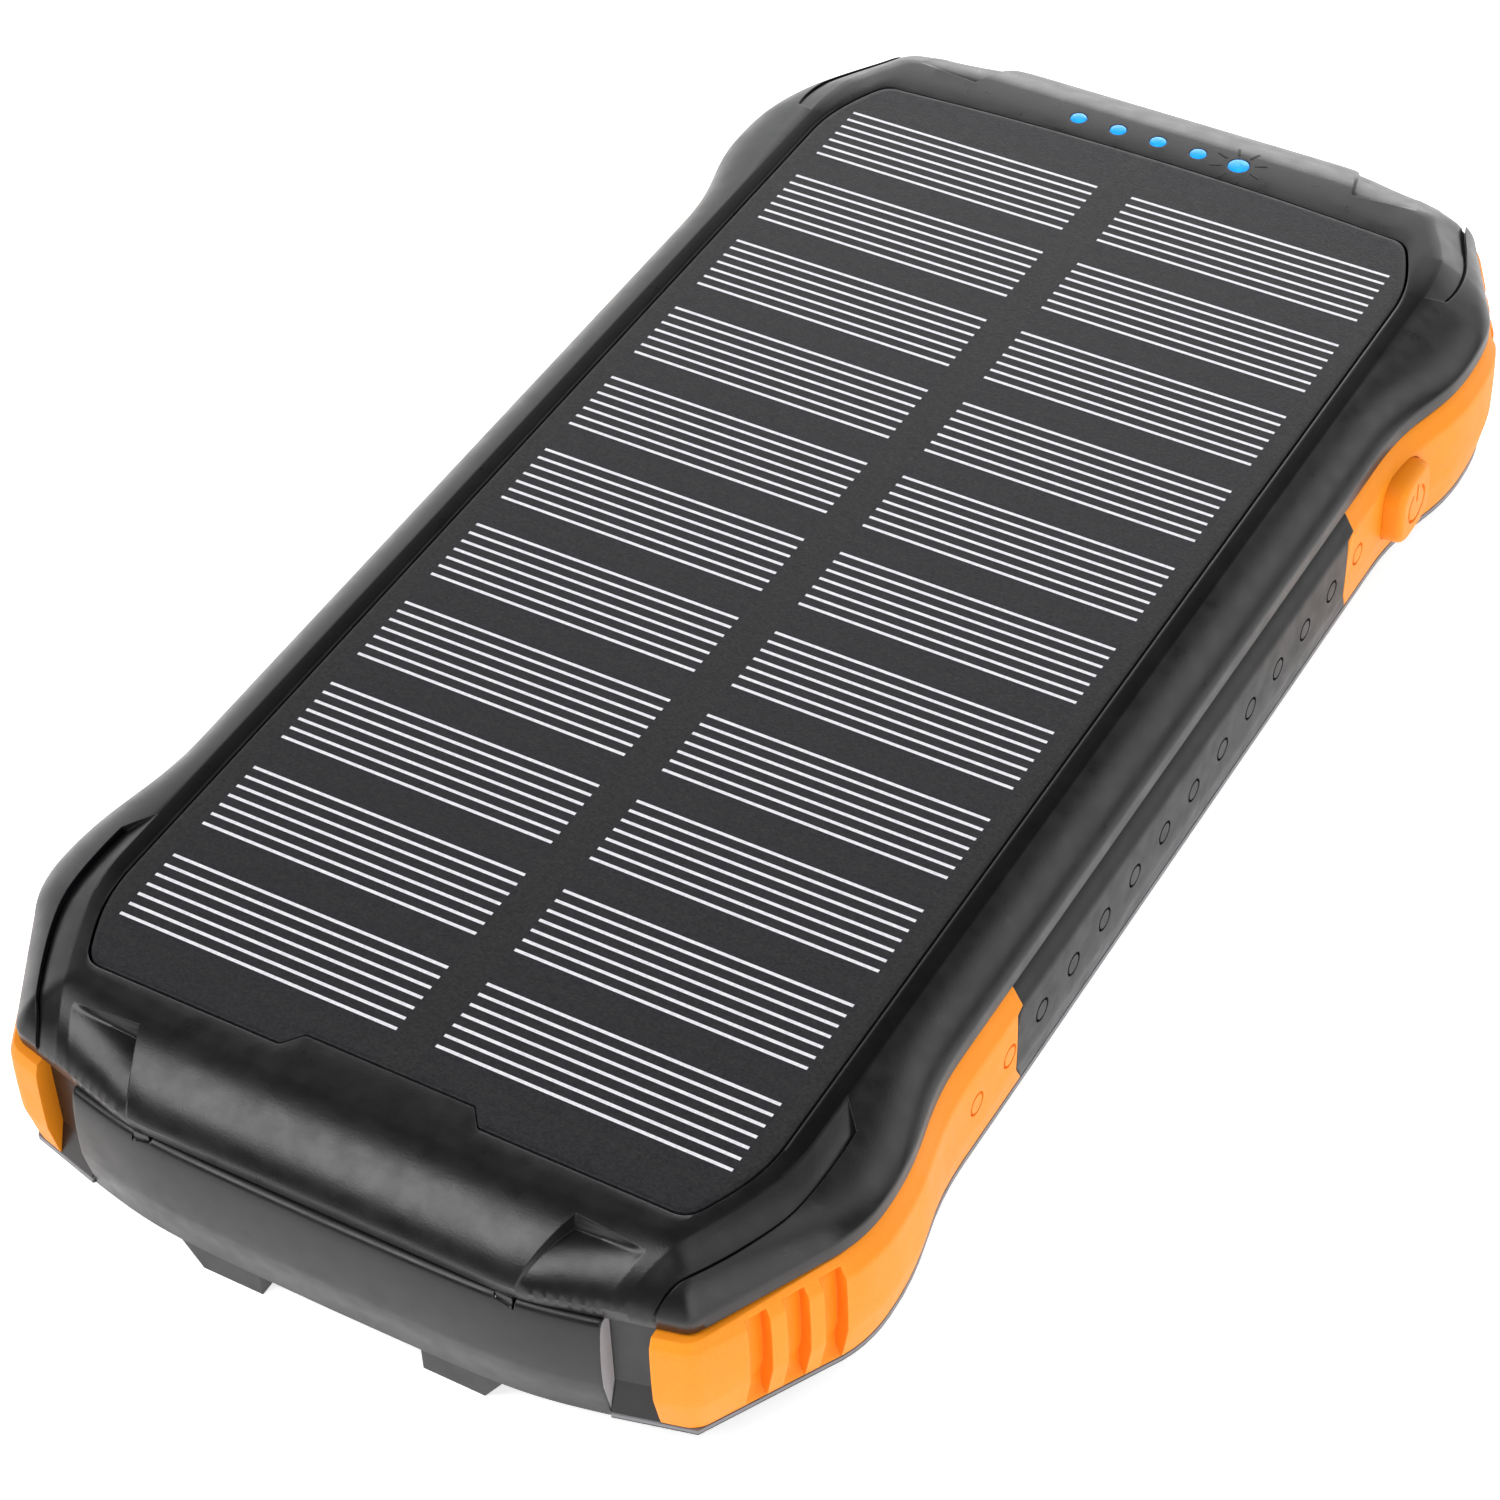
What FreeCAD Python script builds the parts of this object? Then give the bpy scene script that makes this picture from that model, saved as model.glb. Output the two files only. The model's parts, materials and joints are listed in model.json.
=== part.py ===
import FreeCAD, Part
import math
import os

from FreeCAD import Vector

# Rugged pocket solar power bank.
# Millimetres. +Z up, +X towards the power button side, +Y towards the
# indicator end.  The origin is the centre of the footprint on the plane
# the four feet stand on.

os.makedirs("parts", exist_ok=True)

# ---------------------------------------------------------------- heights
FOOT_HEIGHT = 3.1
FOOT_DEPTH = 7.0
FOOT_END = 82.6
BODY_BOTTOM = FOOT_HEIGHT
RIM_TOP = 4.15
FLOOR_TOP = 5.1
BAND_LOW = 8.3
RING_HEIGHT = 11.5
BAND_HIGH = 15.3
BELT_TOP = 17.45
LIP_BOTTOM = 17.6
LIP_TOP = 19.2
ROOF_UNDER = 19.5
PANEL_SEAT = 20.7
CREASE_HEIGHT = 22.5
BEZEL_HEIGHT = 22.8
PANEL_TOP = 22.85

# ------------------------------------------------- plan shape of the body
# Measured from the middle of the solar panel, which sits a little nearer the
# port end.  Each list is one quarter of the outline, from the middle of the
# side to the middle of the end: straight waist, S-curve out to the flared
# corner, rounded turn, flat chamfer, shallow end facet, flat end.
PANEL_SHIFT = -1.4
NEAR_LIP = [
    (40.1, 0.0), (40.1, 43.0), (40.1, 51.5), (42.4, 53.0), (42.4, 61.0),
    (42.4, 64.0), (41.7, 66.3), (40.5, 68.2), (34.25, 79.6), (19.8, 83.3)]
FAR_LIP = [
    (40.1, 0.0), (40.1, 45.0), (40.1, 53.5), (42.6, 55.0), (42.6, 62.0),
    (42.6, 66.5), (42.0, 69.2), (40.6, 71.5), (34.2, 83.0), (19.5, 87.0)]
NEAR_CREASE = [
    (35.7, 0.0), (35.7, 43.0), (35.7, 51.0), (35.7, 52.5), (35.7, 60.5),
    (35.7, 63.2), (35.2, 65.4), (34.5, 67.3), (30.8, 75.4), (21.5, 76.7)]
FAR_CREASE = [
    (35.7, 0.0), (35.7, 43.0), (35.7, 51.0), (35.7, 52.5), (35.7, 62.5),
    (35.7, 66.5), (35.5, 69.2), (34.8, 72.2), (30.8, 78.8), (21.5, 80.1)]
PUSH_QUARTER = [
    (1.0, 0.0), (1.0, 0.0), (1.0, 0.0), (1.0, 0.0), (1.0, 0.0),
    (1.0, 0.04), (1.0, 0.10), (1.0, 0.25),
    (0.68, 0.86), (0.12, 1.0)]
BEVEL_SWEEP = math.radians(68.0)
BEVEL_STEPS = 4

# ------------------------------------------------------------ side belt
BELT_PROFILE = [(RIM_TOP + 0.05, 0.1), (BAND_LOW, 0.95),
                (BAND_HIGH, 0.95), (BELT_TOP, -0.2)]
RIM_GROW = 0.1
WALL_OUTSIDE = -2.7
WALL_INSIDE = -4.7
BELT_INSIDE = -2.65
END_WALL_SET_BACK = -1.95
# The wall beside the port cover sweeps out to the rim: height, growth.
NEAR_END_PROFILE = [(RIM_TOP, 0.05), (7.5, -1.0), (LIP_BOTTOM, -1.0)]
FLAP_BACK = -0.95
PORT_WALL = -1.05
NEAR_SPLIT = [(-33.5, BELT_TOP), (-33.5, BAND_HIGH), (-34.65, BAND_HIGH),
              (-34.9, BAND_LOW), (-31.5, BODY_BOTTOM)]
FAR_SPLIT = [(37.4, BELT_TOP), (37.4, BAND_HIGH), (36.0, BAND_HIGH),
             (35.7, BAND_LOW), (39.4, BODY_BOTTOM)]
BUMPER_END = 31.2
END_DIFFERENCE = 3.5
SPLIT_GAP = 0.06
RING_PITCH = 6.24
FIRST_RING = -42.48
RING_COUNT = 14
RING_RADIUS = 1.2
RING_WIDTH = 0.28
RING_DEPTH = 0.35
GRIP_START = -1.16
GRIP_PITCH = 3.71
GRIP_WIDTH = 2.5
GRIP_WALL = 0.35
GRIP_SHALLOW = 0.22
GRIP_DEEP = 1.35
NEAR_GRIP_LINE = [(41.33, -68.66), (35.08, -80.06)]
FAR_GRIP_LINE = [(41.43, 71.96), (35.03, 83.46)]

# ------------------------------------------------------------ solar panel
PANEL_HALF_WIDTH = 33.6
PANEL_HALF_LENGTH = 73.0
PANEL_GAP = 0.2
NOTCH_HALF = 8.8
NOTCH_SLANT = 1.5
NOTCH_RISE = 1.9
CELL_ROWS = 11
CELL_PITCH = 12.6
CELL_LENGTH = 29.9
CELL_DEPTH = 11.9
CELL_CENTRE = 16.6
FINGERS = 7
FINGER_PITCH = 1.342
FINGER_LENGTH = 29.2
FINGER_WIDTH = 0.34
BOARD_TOP = 22.1
CELL_TOP = 22.4
FINGER_TOP = 22.45

# -------------------------------------------------------------- port cover
FLAP_HALF = 26.85
FLAP_BOTTOM = 3.2
HINGE_Y = -82.85
HINGE_Z = 15.6
BEAD_RADIUS = 0.92
BEAD_HALF = 17.5
LUG_WIDTH = 1.6
LUG_RADIUS = 0.75
HINGE_PIN_RADIUS = 0.4
HINGE_CLEARANCE = 0.04
PORT_Z = 12.1

# ------------------------------------------------------------ power button
BUTTON_Y = 48.4
BUTTON_Z = 11.4
BUTTON_WIDE = 7.4
BUTTON_TALL = 7.6
BUTTON_CORNER = 2.2
BUTTON_FACE = 43.2
BUTTON_CLEARANCE = 0.06

# -------------------------------------------------------------- indicators
DOT_Y = 77.25
DOT_PITCH = 4.7
FIRST_DOT_X = -9.25
DOT_RADIUS = 0.9
SUN_RADIUS = 1.15
RAY_COUNT = 8


# ================================================================ helpers
def save(name, shape):
    placed = shape.copy()
    placed.translate(Vector(0, PANEL_SHIFT, 0))
    placed.exportStep("parts/" + name + ".step")


def block(x0, x1, y0, y1, z0, z1):
    return Part.makeBox(x1 - x0, y1 - y0, z1 - z0, Vector(x0, y0, z0))


def rod(centre, radius, length, direction):
    return Part.makeCylinder(radius, length, Vector(*centre), Vector(*direction))


def rounded_block(x0, x1, y0, y1, z0, z1, radius):
    body = block(x0, x1, y0, y1, z0, z1)
    upright = [e for e in body.Edges if abs(e.tangentAt(0).z) > 0.9]
    return body.makeFillet(radius, upright)


def polygon(points):
    corners = [Vector(*p) for p in points]
    return Part.makePolygon(corners + [corners[0]])


def plate(points, thickness):
    return Part.Face(polygon(points)).extrude(thickness)


def mirror_x(shape):
    return shape.mirror(Vector(0, 0, 0), Vector(1, 0, 0))


def bezier(points):
    curve = Part.BezierCurve()
    curve.setPoles(points)
    return curve.toShape()


def quarter_outline(far, grow, blend):
    lip_points = FAR_LIP if far else NEAR_LIP
    crease_points = FAR_CREASE if far else NEAR_CREASE
    quarter = []
    for lip, crease, push in zip(lip_points, crease_points, PUSH_QUARTER):
        x = lip[0] + (crease[0] - lip[0]) * blend + push[0] * grow
        y = lip[1] + (crease[1] - lip[1]) * blend + push[1] * grow
        quarter.append((x, y))
    return quarter


def outline(z, grow=0.0, blend=0.0):
    """Closed wire of the body plan at height z.

    blend 0 is the lip, 1 the crease beside the panel."""
    quarters = {1: quarter_outline(True, grow, blend), -1: quarter_outline(False, grow, blend)}
    edges = []
    for sx, sy in [(1, 1), (-1, 1), (-1, -1), (1, -1)]:
        p = [Vector(sx * x, sy * y, z) for x, y in quarters[sy]]
        flank = [bezier(p[1:5]), bezier(p[4:8]),
                 Part.makeLine(p[7], p[8]), Part.makeLine(p[8], p[9])]
        if sx == sy:
            start = Vector(p[1].x, -sy * quarters[-sy][1][1], z)
            edges.append(Part.makeLine(start, p[1]))
            edges.extend(flank)
            edges.append(Part.makeLine(p[9], Vector(-p[9].x, p[9].y, z)))
        else:
            edges.extend(reversed(flank))
    return Part.Wire(Part.__sortEdges__(edges))


def slab(z0, z1, grow):
    return Part.Face(outline(z0, grow)).extrude(Vector(0, 0, z1 - z0))


def cover_form():
    """Outside form of the upper shell, solid right through."""
    lip = Part.Face(outline(LIP_BOTTOM)).extrude(Vector(0, 0, LIP_TOP - LIP_BOTTOM))
    rings = []
    for step in range(BEVEL_STEPS + 1):
        angle = BEVEL_SWEEP * step / BEVEL_STEPS
        blend = (1 - math.cos(angle)) / (1 - math.cos(BEVEL_SWEEP))
        rise = math.sin(angle) / math.sin(BEVEL_SWEEP)
        z = LIP_TOP + (CREASE_HEIGHT - LIP_TOP) * rise
        rings.append(outline(z, 0.0, blend))
    bevel = Part.makeLoft(rings, True, False)
    cap = Part.makeLoft([outline(CREASE_HEIGHT, 0.0, 1.0),
                         outline(BEZEL_HEIGHT, -0.9, 1.0)], True, True)
    return lip.fuse([bevel, cap])


def belt_form(shift=0.0):
    rings = [outline(z, grow + shift) for z, grow in BELT_PROFILE]
    return Part.makeLoft(rings, True, True)


# ============================================================ solar panel
def panel_wire(z, grow=0.0):
    """Panel outline: straight sides, long curved corners, notch at the
    near end and a slightly bowed far end."""
    w = PANEL_HALF_WIDTH + grow
    h = PANEL_HALF_LENGTH + grow
    notch = NOTCH_HALF - grow
    slant = notch + NOTCH_SLANT
    bow = h + 1.2

    def corner(sx, sy):
        long_turn = [(w, h - 11.0), (w, h - 7.0), (w - 1.1, h - 4.6), (w - 2.3, h - 2.0)]
        short_turn = [(w - 2.3, h - 2.0), (w - 2.9, h - 0.7), (w - 3.6, h), (w - 4.8, h)]
        turns = []
        for turn in (long_turn, short_turn):
            turns.append(bezier([Vector(sx * x, sy * y, z) for x, y in turn]))
        return turns

    side_end = h - 11.0
    flat_end = w - 4.8
    edges = []
    for sx in (1, -1):
        edges.append(Part.makeLine(Vector(sx * w, -side_end, z), Vector(sx * w, side_end, z)))
        edges.extend(corner(sx, 1))
        edges.extend(corner(sx, -1))
        edges.append(Part.makeLine(Vector(sx * flat_end, -h, z), Vector(sx * slant, -h, z)))
        edges.append(Part.makeLine(Vector(sx * slant, -h, z),
                                   Vector(sx * notch, -h + NOTCH_RISE, z)))
    edges.append(Part.makeLine(Vector(-notch, -h + NOTCH_RISE, z),
                               Vector(notch, -h + NOTCH_RISE, z)))
    far = Part.Arc(Vector(flat_end, h, z), Vector(0, bow, z), Vector(-flat_end, h, z))
    edges.append(far.toShape())
    return Part.Wire(Part.__sortEdges__(edges))


def panel_slab(z0, z1, grow=0.0):
    return Part.Face(panel_wire(z0, grow)).extrude(Vector(0, 0, z1 - z0))


def cell_centres():
    centres = []
    for row in range(CELL_ROWS):
        y = (row - (CELL_ROWS - 1) / 2.0) * CELL_PITCH
        for side in (-1, 1):
            centres.append((side * CELL_CENTRE, y))
    return centres


def cell_block(x, y, z0, z1, slack=0.0):
    half_x = CELL_LENGTH / 2.0 + slack
    half_y = CELL_DEPTH / 2.0 + slack
    return block(x - half_x, x + half_x, y - half_y, y + half_y, z0, z1)


def solar_panel():
    board = panel_slab(PANEL_SEAT + 0.15, BOARD_TOP)
    save("panel_board", board)

    cells = [cell_block(x, y, BOARD_TOP, CELL_TOP) for x, y in cell_centres()]
    save("solar_cells", Part.makeCompound(cells))

    fingers = []
    for x, y in cell_centres():
        for count in range(FINGERS):
            line_y = y + (count - (FINGERS - 1) / 2.0) * FINGER_PITCH
            fingers.append(block(x - FINGER_LENGTH / 2.0, x + FINGER_LENGTH / 2.0,
                                 line_y - FINGER_WIDTH / 2.0, line_y + FINGER_WIDTH / 2.0,
                                 CELL_TOP, FINGER_TOP))
    save("cell_fingers", Part.makeCompound(fingers))

    laminate = panel_slab(BOARD_TOP, PANEL_TOP)
    pockets = [cell_block(x, y, BOARD_TOP, FINGER_TOP) for x, y in cell_centres()]
    save("panel_laminate", laminate.cut(pockets))

    tape = panel_slab(PANEL_SEAT, PANEL_SEAT + 0.15, -0.4)
    save("panel_adhesive", tape.cut(panel_slab(PANEL_SEAT, PANEL_SEAT + 0.15, -3.4)))


# ========================================================== upper shell
def wedge_recess(sy, reach_out):
    """Cutter for the triangular recess beside the +X end of an end tongue."""
    inner_top = Vector(22.0, sy * (76.9 + reach_out), 20.8)
    outer_top = Vector(29.2, sy * (77.2 + reach_out), 22.2)
    lip_point = Vector(19.3, sy * (83.6 + reach_out), 18.4)
    reach = lip_point + (outer_top - inner_top) * 1.05
    floor = [inner_top, outer_top, reach, lip_point]
    base = Part.Face(Part.makePolygon(floor + [inner_top]))
    return base.extrude(Vector(0.25, 0, 5.0))


# Plan lines of the narrow grooves that set off the corner guards.
NEAR_GROOVE = [(37.9, -57.8), (38.0, -60.6), (37.9, -64.5), (37.5, -67.5), (36.6, -70.3),
               (35.0, -73.8), (33.3, -76.9), (31.8, -79.3), (30.4, -83.4)]
FAR_GROOVE = [(37.8, 66.6), (38.0, 68.6), (37.8, 70.9), (37.1, 73.6), (35.7, 77.0),
              (34.2, 80.3), (32.6, 84.6)]
GROOVE_WIDTH = 0.32
GROOVE_DEPTH = 0.4


def ribbon(points, width):
    pieces = []
    for start, end in zip(points[:-1], points[1:]):
        a = Vector(start[0], start[1], 0)
        b = Vector(end[0], end[1], 0)
        along = (b - a).normalize()
        side = Vector(-along.y, along.x, 0) * (width / 2.0)
        pieces.append(plate([a - side, b - side, b + side, a + side], Vector(0, 0, 40)))
        pieces.append(Part.makeCylinder(width / 2.0, 40, a))
    return pieces[0].fuse(pieces[1:])


def sun_rays_prism(x, y):
    rays = []
    for count in range(RAY_COUNT):
        ray = block(1.75, 3.0, -0.13, 0.13, 0, 40)
        ray.rotate(Vector(0, 0, 0), Vector(0, 0, 1), 360.0 * count / RAY_COUNT + 22.5)
        rays.append(ray.translate(Vector(x, y, 0)))
    return Part.makeCompound(rays)


def dot_positions():
    return [(FIRST_DOT_X + count * DOT_PITCH, DOT_Y) for count in range(4)]


def boss_positions():
    return [(sx * x, sy * y) for x, y in ((33.0, 20.0), (33.2, 65.0)) for sx in (1, -1) for sy in (1, -1)]


def upper_shell():
    form = cover_form()
    lowered = form.copy()
    lowered.translate(Vector(0, 0, -GROOVE_DEPTH))

    cutters = []
    for recess in (wedge_recess(-1, 0.0), wedge_recess(1, END_DIFFERENCE)):
        cutters.append(recess)
        cutters.append(mirror_x(recess))
    form = form.cut(cutters)

    grooves = []
    for line in (NEAR_GROOVE, FAR_GROOVE):
        groove = ribbon(line, GROOVE_WIDTH).cut(lowered)
        grooves.append(groove)
        grooves.append(mirror_x(groove))
    form = form.cut(grooves)

    sun_x = FIRST_DOT_X + 4 * DOT_PITCH
    rays = sun_rays_prism(sun_x, DOT_Y).common(form).cut(lowered)
    save("sun_rays", rays)
    form = form.cut(rays)

    pipes = []
    for x, y in dot_positions():
        pipes.append(rod((x, y, 14.2), DOT_RADIUS, 12.0, (0, 0, 1)).common(
            cover_form().fuse(block(-40, 40, 60, 84, 10, LIP_BOTTOM))))
    save("indicator_lenses", Part.makeCompound(pipes))
    sun = rod((sun_x, DOT_Y, 14.2), SUN_RADIUS, 12.0, (0, 0, 1)).common(
        cover_form().fuse(block(-40, 40, 60, 84, 10, LIP_BOTTOM)))
    save("sun_indicator_lens", sun)
    holes = [rod((x, y, 10), DOT_RADIUS, 20, (0, 0, 1)) for x, y in dot_positions()]
    holes.append(rod((sun_x, DOT_Y, 10), SUN_RADIUS, 20, (0, 0, 1)))

    cavity = Part.makeLoft([outline(LIP_BOTTOM, WALL_INSIDE),
                            outline(ROOF_UNDER, WALL_INSIDE - 0.4)], True, True)
    shell = form.cut([cavity, panel_slab(PANEL_SEAT, 30.0, PANEL_GAP)])
    shell = shell.cut(holes + [rod((0, -66.0, 15), 2.0, 10, (0, 0, 1))])

    bosses = []
    for x, y in boss_positions():
        post = rod((x, y, 12.0), 2.3, ROOF_UNDER + 0.3 - 12.0, (0, 0, 1))
        bosses.append(post.cut(rod((x, y, 11.0), 0.8, 7.0, (0, 0, 1))))
    shell = shell.fuse(bosses)

    lugs = []
    for side in (-1, 1):
        x = side * (BEAD_HALF + 0.1 + LUG_WIDTH / 2.0)
        stem = block(x - LUG_WIDTH / 2.0, x + LUG_WIDTH / 2.0, HINGE_Y - 0.4, HINGE_Y + LUG_RADIUS,
                     HINGE_Z, LIP_BOTTOM + 0.2)
        eye = rod((x - LUG_WIDTH / 2.0, HINGE_Y, HINGE_Z), LUG_RADIUS, LUG_WIDTH, (1, 0, 0))
        lugs.append(stem.fuse(eye))
    shell = shell.fuse(lugs)
    bore = rod((-25, HINGE_Y, HINGE_Z), HINGE_PIN_RADIUS + HINGE_CLEARANCE, 50, (1, 0, 0))
    save("top_cover", shell.cut(bore).removeSplitter())


# ========================================================== lower shell
def foot(sx, end_y, inward):
    """One bonded foot, wider at the top, under an end of the case."""
    corners = [(8.4, 0), (14.7, 0), (16.8, FOOT_HEIGHT), (8.4, FOOT_HEIGHT)]
    face = polygon([(x, end_y, z) for x, z in corners])
    shape = Part.Face(face).extrude(Vector(0, inward * FOOT_DEPTH, 0))
    return shape if sx > 0 else mirror_x(shape)


def button_window(x0, x1, slack):
    half_y = BUTTON_WIDE / 2.0 + slack
    half_z = BUTTON_TALL / 2.0 + slack
    window = block(x0, x1, BUTTON_Y - half_y, BUTTON_Y + half_y,
                   BUTTON_Z - half_z, BUTTON_Z + half_z)
    long_edges = [e for e in window.Edges if abs(e.tangentAt(0).x) > 0.9]
    return window.makeFillet(BUTTON_CORNER + slack, long_edges)


def socket_window(x, half_wide, half_tall, y0, y1, slack):
    return block(x - half_wide - slack, x + half_wide + slack, y0, y1,
                 PORT_Z - half_tall - slack, PORT_Z + half_tall + slack)


# Name, centre x, half width and half height of each socket.
SOCKETS = [("usb_a_socket_left", -15.9, 6.6, 2.9),
           ("usb_a_socket_right", 15.9, 6.6, 2.9),
           ("usb_c_socket", -4.1, 4.5, 1.6),
           ("micro_usb_socket", 4.8, 3.75, 1.4)]


def seal_track():
    """Closed loop of soft seal let into the top of the wall."""
    base = LIP_BOTTOM - 0.6
    return slab(base, LIP_BOTTOM, -3.35).cut(slab(base, LIP_BOTTOM, -4.0))


def lower_shell():
    rim = Part.makeLoft([outline(BODY_BOTTOM, RIM_GROW - 0.6),
                         outline(BODY_BOTTOM + 0.5, RIM_GROW)], True, True)
    rim = rim.fuse(slab(BODY_BOTTOM + 0.5, RIM_TOP, RIM_GROW))
    walls = slab(RIM_TOP, LIP_BOTTOM, WALL_OUTSIDE)
    half = BUMPER_END - 0.03
    far_end = belt_form(END_WALL_SET_BACK).common(block(-half, half, 0, 90, RIM_TOP, LIP_BOTTOM))
    near_form = Part.makeLoft([outline(z, grow) for z, grow in NEAR_END_PROFILE], True, True)
    near_end = near_form.common(block(-half, half, -90, 0, RIM_TOP, LIP_BOTTOM))
    shell = rim.fuse([walls, far_end, near_end])
    shell = shell.cut(slab(FLOOR_TOP, LIP_BOTTOM + 1, WALL_INSIDE))

    shell = shell.cut(seal_track())
    save("shell_seal", seal_track())

    near_strip = block(-FLAP_HALF - 0.1, FLAP_HALF + 0.1, -90, -70, 0, LIP_BOTTOM)
    flap_bay = near_strip.cut(slab(0, LIP_BOTTOM, PORT_WALL))
    frame_bay = block(-26.0, 26.0, -82.4, -77.0, 6.3, LIP_BOTTOM + 1)
    shell = shell.cut([flap_bay, frame_bay])

    posts = []
    for x, y in boss_positions():
        post = rod((x, y, FLOOR_TOP - 0.3), 2.3, 12.0 - FLOOR_TOP + 0.3, (0, 0, 1))
        posts.append(post)
    for sx in (-1, 1):
        posts.append(rod((sx * 24.0, -62.5, FLOOR_TOP - 0.3), 1.8, 2.7, (0, 0, 1)))
        posts.append(rod((sx * 24.0, 74.0, FLOOR_TOP - 0.3), 2.0, 6.2, (0, 0, 1)))
    shell = shell.fuse(posts)

    holes = []
    for x, y in boss_positions():
        holes.append(rod((x, y, 0), 1.05, 14, (0, 0, 1)))
        holes.append(rod((x, y, 0), 2.0, 5.6, (0, 0, 1)))
    for sx in (-1, 1):
        holes.append(rod((sx * 24.0, -62.5, 5.2), 0.7, 4, (0, 0, 1)))
        holes.append(rod((sx * 24.0, 74.0, 5.2), 0.7, 8, (0, 0, 1)))
    holes.append(button_window(34.0, 44.0, -1.4))
    holes.append(button_window(37.9, 44.0, 0.15))
    shell = shell.cut(holes)
    save("bottom_cover", shell.removeSplitter())

    screws = []
    for x, y in boss_positions():
        head = rod((x, y, 3.8), 1.9, 1.8, (0, 0, 1))
        slot = block(x - 1.2, x + 1.2, y - 0.25, y + 0.25, 3.7, 4.6)
        cross = block(x - 0.25, x + 0.25, y - 1.2, y + 1.2, 3.7, 4.6)
        shank = rod((x, y, 5.6), 0.8, 10.0, (0, 0, 1))
        screws.append(head.fuse(shank).cut([slot, cross]))
    save("case_screws", Part.makeCompound(screws))


def feet():
    """Four separate feet, each bonded under the bottom cover."""
    for sx, side in ((-1, "left"), (1, "right")):
        save("foot_pad_near_" + side, foot(sx, -FOOT_END, 1))
        save("foot_pad_far_" + side, foot(sx, FOOT_END - 2 * PANEL_SHIFT, -1))


def port_frame():
    frame = block(-25.95, 25.95, -81.6, -77.1, 6.35, LIP_BOTTOM)
    frame = frame.common(slab(0, 30, PORT_WALL))
    cutters = []
    for name, x, half_wide, half_tall in SOCKETS:
        cutters.append(socket_window(x, half_wide, half_tall, -81.2, -76, 0.0))
        cutters.append(socket_window(x, half_wide, half_tall, -84, -81.2, 0.15))
    bead_room = rod((-27, HINGE_Y, HINGE_Z), BEAD_RADIUS + 0.15, 54, (1, 0, 0))
    save("port_frame", frame.cut(cutters + [bead_room, seal_track()]))


def port_cover():
    skin = belt_form().fuse(slab(BODY_BOTTOM, RIM_TOP + 0.2, RIM_GROW))
    skin = skin.cut(slab(0, 30, FLAP_BACK))
    skin = skin.common(block(-FLAP_HALF, FLAP_HALF, -90, -70, FLAP_BOTTOM, HINGE_Z))
    bead = rod((-BEAD_HALF, HINGE_Y, HINGE_Z), BEAD_RADIUS, 2 * BEAD_HALF, (1, 0, 0))
    skin = skin.fuse(bead)
    notches = []
    for side in (-1, 1):
        x = side * (BEAD_HALF + 0.1 + LUG_WIDTH / 2.0)
        notches.append(block(x - LUG_WIDTH / 2.0 - 0.1, x + LUG_WIDTH / 2.0 + 0.1,
                             -90, -81, HINGE_Z - 1.25, 20))
    skin = skin.cut(notches)
    plugs = []
    for name, x, half_wide, half_tall in SOCKETS:
        plugs.append(socket_window(x, half_wide, half_tall, -82.5, -81.5, -0.2))
    skin = skin.fuse(plugs)
    bore = rod((-30, HINGE_Y, HINGE_Z), HINGE_PIN_RADIUS, 60, (1, 0, 0))
    save("port_cover", skin.cut(bore).removeSplitter())
    pin_half = BEAD_HALF + 0.1 + LUG_WIDTH
    save("hinge_pin", rod((-pin_half, HINGE_Y, HINGE_Z), HINGE_PIN_RADIUS,
                          2 * pin_half, (1, 0, 0)))


# ==================================================== rails and bumpers
def split_block(split, towards, gap):
    """Block beyond the stepped split line on the +X side, on one side of it."""
    far_y = 95.0 * towards
    points = [(30.0, y + gap * towards, z) for y, z in split]
    points.append((30.0, split[-1][0] + gap * towards, 0.0))
    points.append((30.0, far_y, 0.0))
    points.append((30.0, far_y, 25.0))
    points.append((30.0, split[0][0] + gap * towards, 25.0))
    return plate(points, Vector(20, 0, 0))


def ring_cutters():
    cutters = []
    surface = NEAR_LIP[0][0] + BELT_PROFILE[1][1]
    for count in range(RING_COUNT):
        y = FIRST_RING + count * RING_PITCH
        outer = rod((surface - RING_DEPTH, y, RING_HEIGHT), RING_RADIUS, 2.0, (1, 0, 0))
        inner = rod((surface - RING_DEPTH, y, RING_HEIGHT), RING_RADIUS - RING_WIDTH, 2.0, (1, 0, 0))
        cutters.append(outer.cut(inner))
    return cutters


def grip_notches(line):
    """Saw-tooth grip notches along the +X chamfer of a bumper."""
    start = Vector(line[0][0], line[0][1], 0)
    end = Vector(line[1][0], line[1][1], 0)
    along = (end - start).normalize()
    outward = Vector(abs(along.y), -along.x * along.y / abs(along.y), 0)
    notches = []
    for count in range(3):
        top = start + along * (GRIP_START + count * GRIP_PITCH)
        deep = top + along * GRIP_WALL
        shallow = top + along * GRIP_WIDTH
        corners = [top, deep - outward * GRIP_DEEP, shallow - outward * GRIP_SHALLOW,
                   shallow + outward * 3.0, top + outward * 3.0]
        bottom = [(c.x, c.y, RIM_TOP) for c in corners]
        notches.append(plate(bottom, Vector(0, 0, BAND_HIGH + 0.6 - RIM_TOP)))
    return notches


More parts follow.
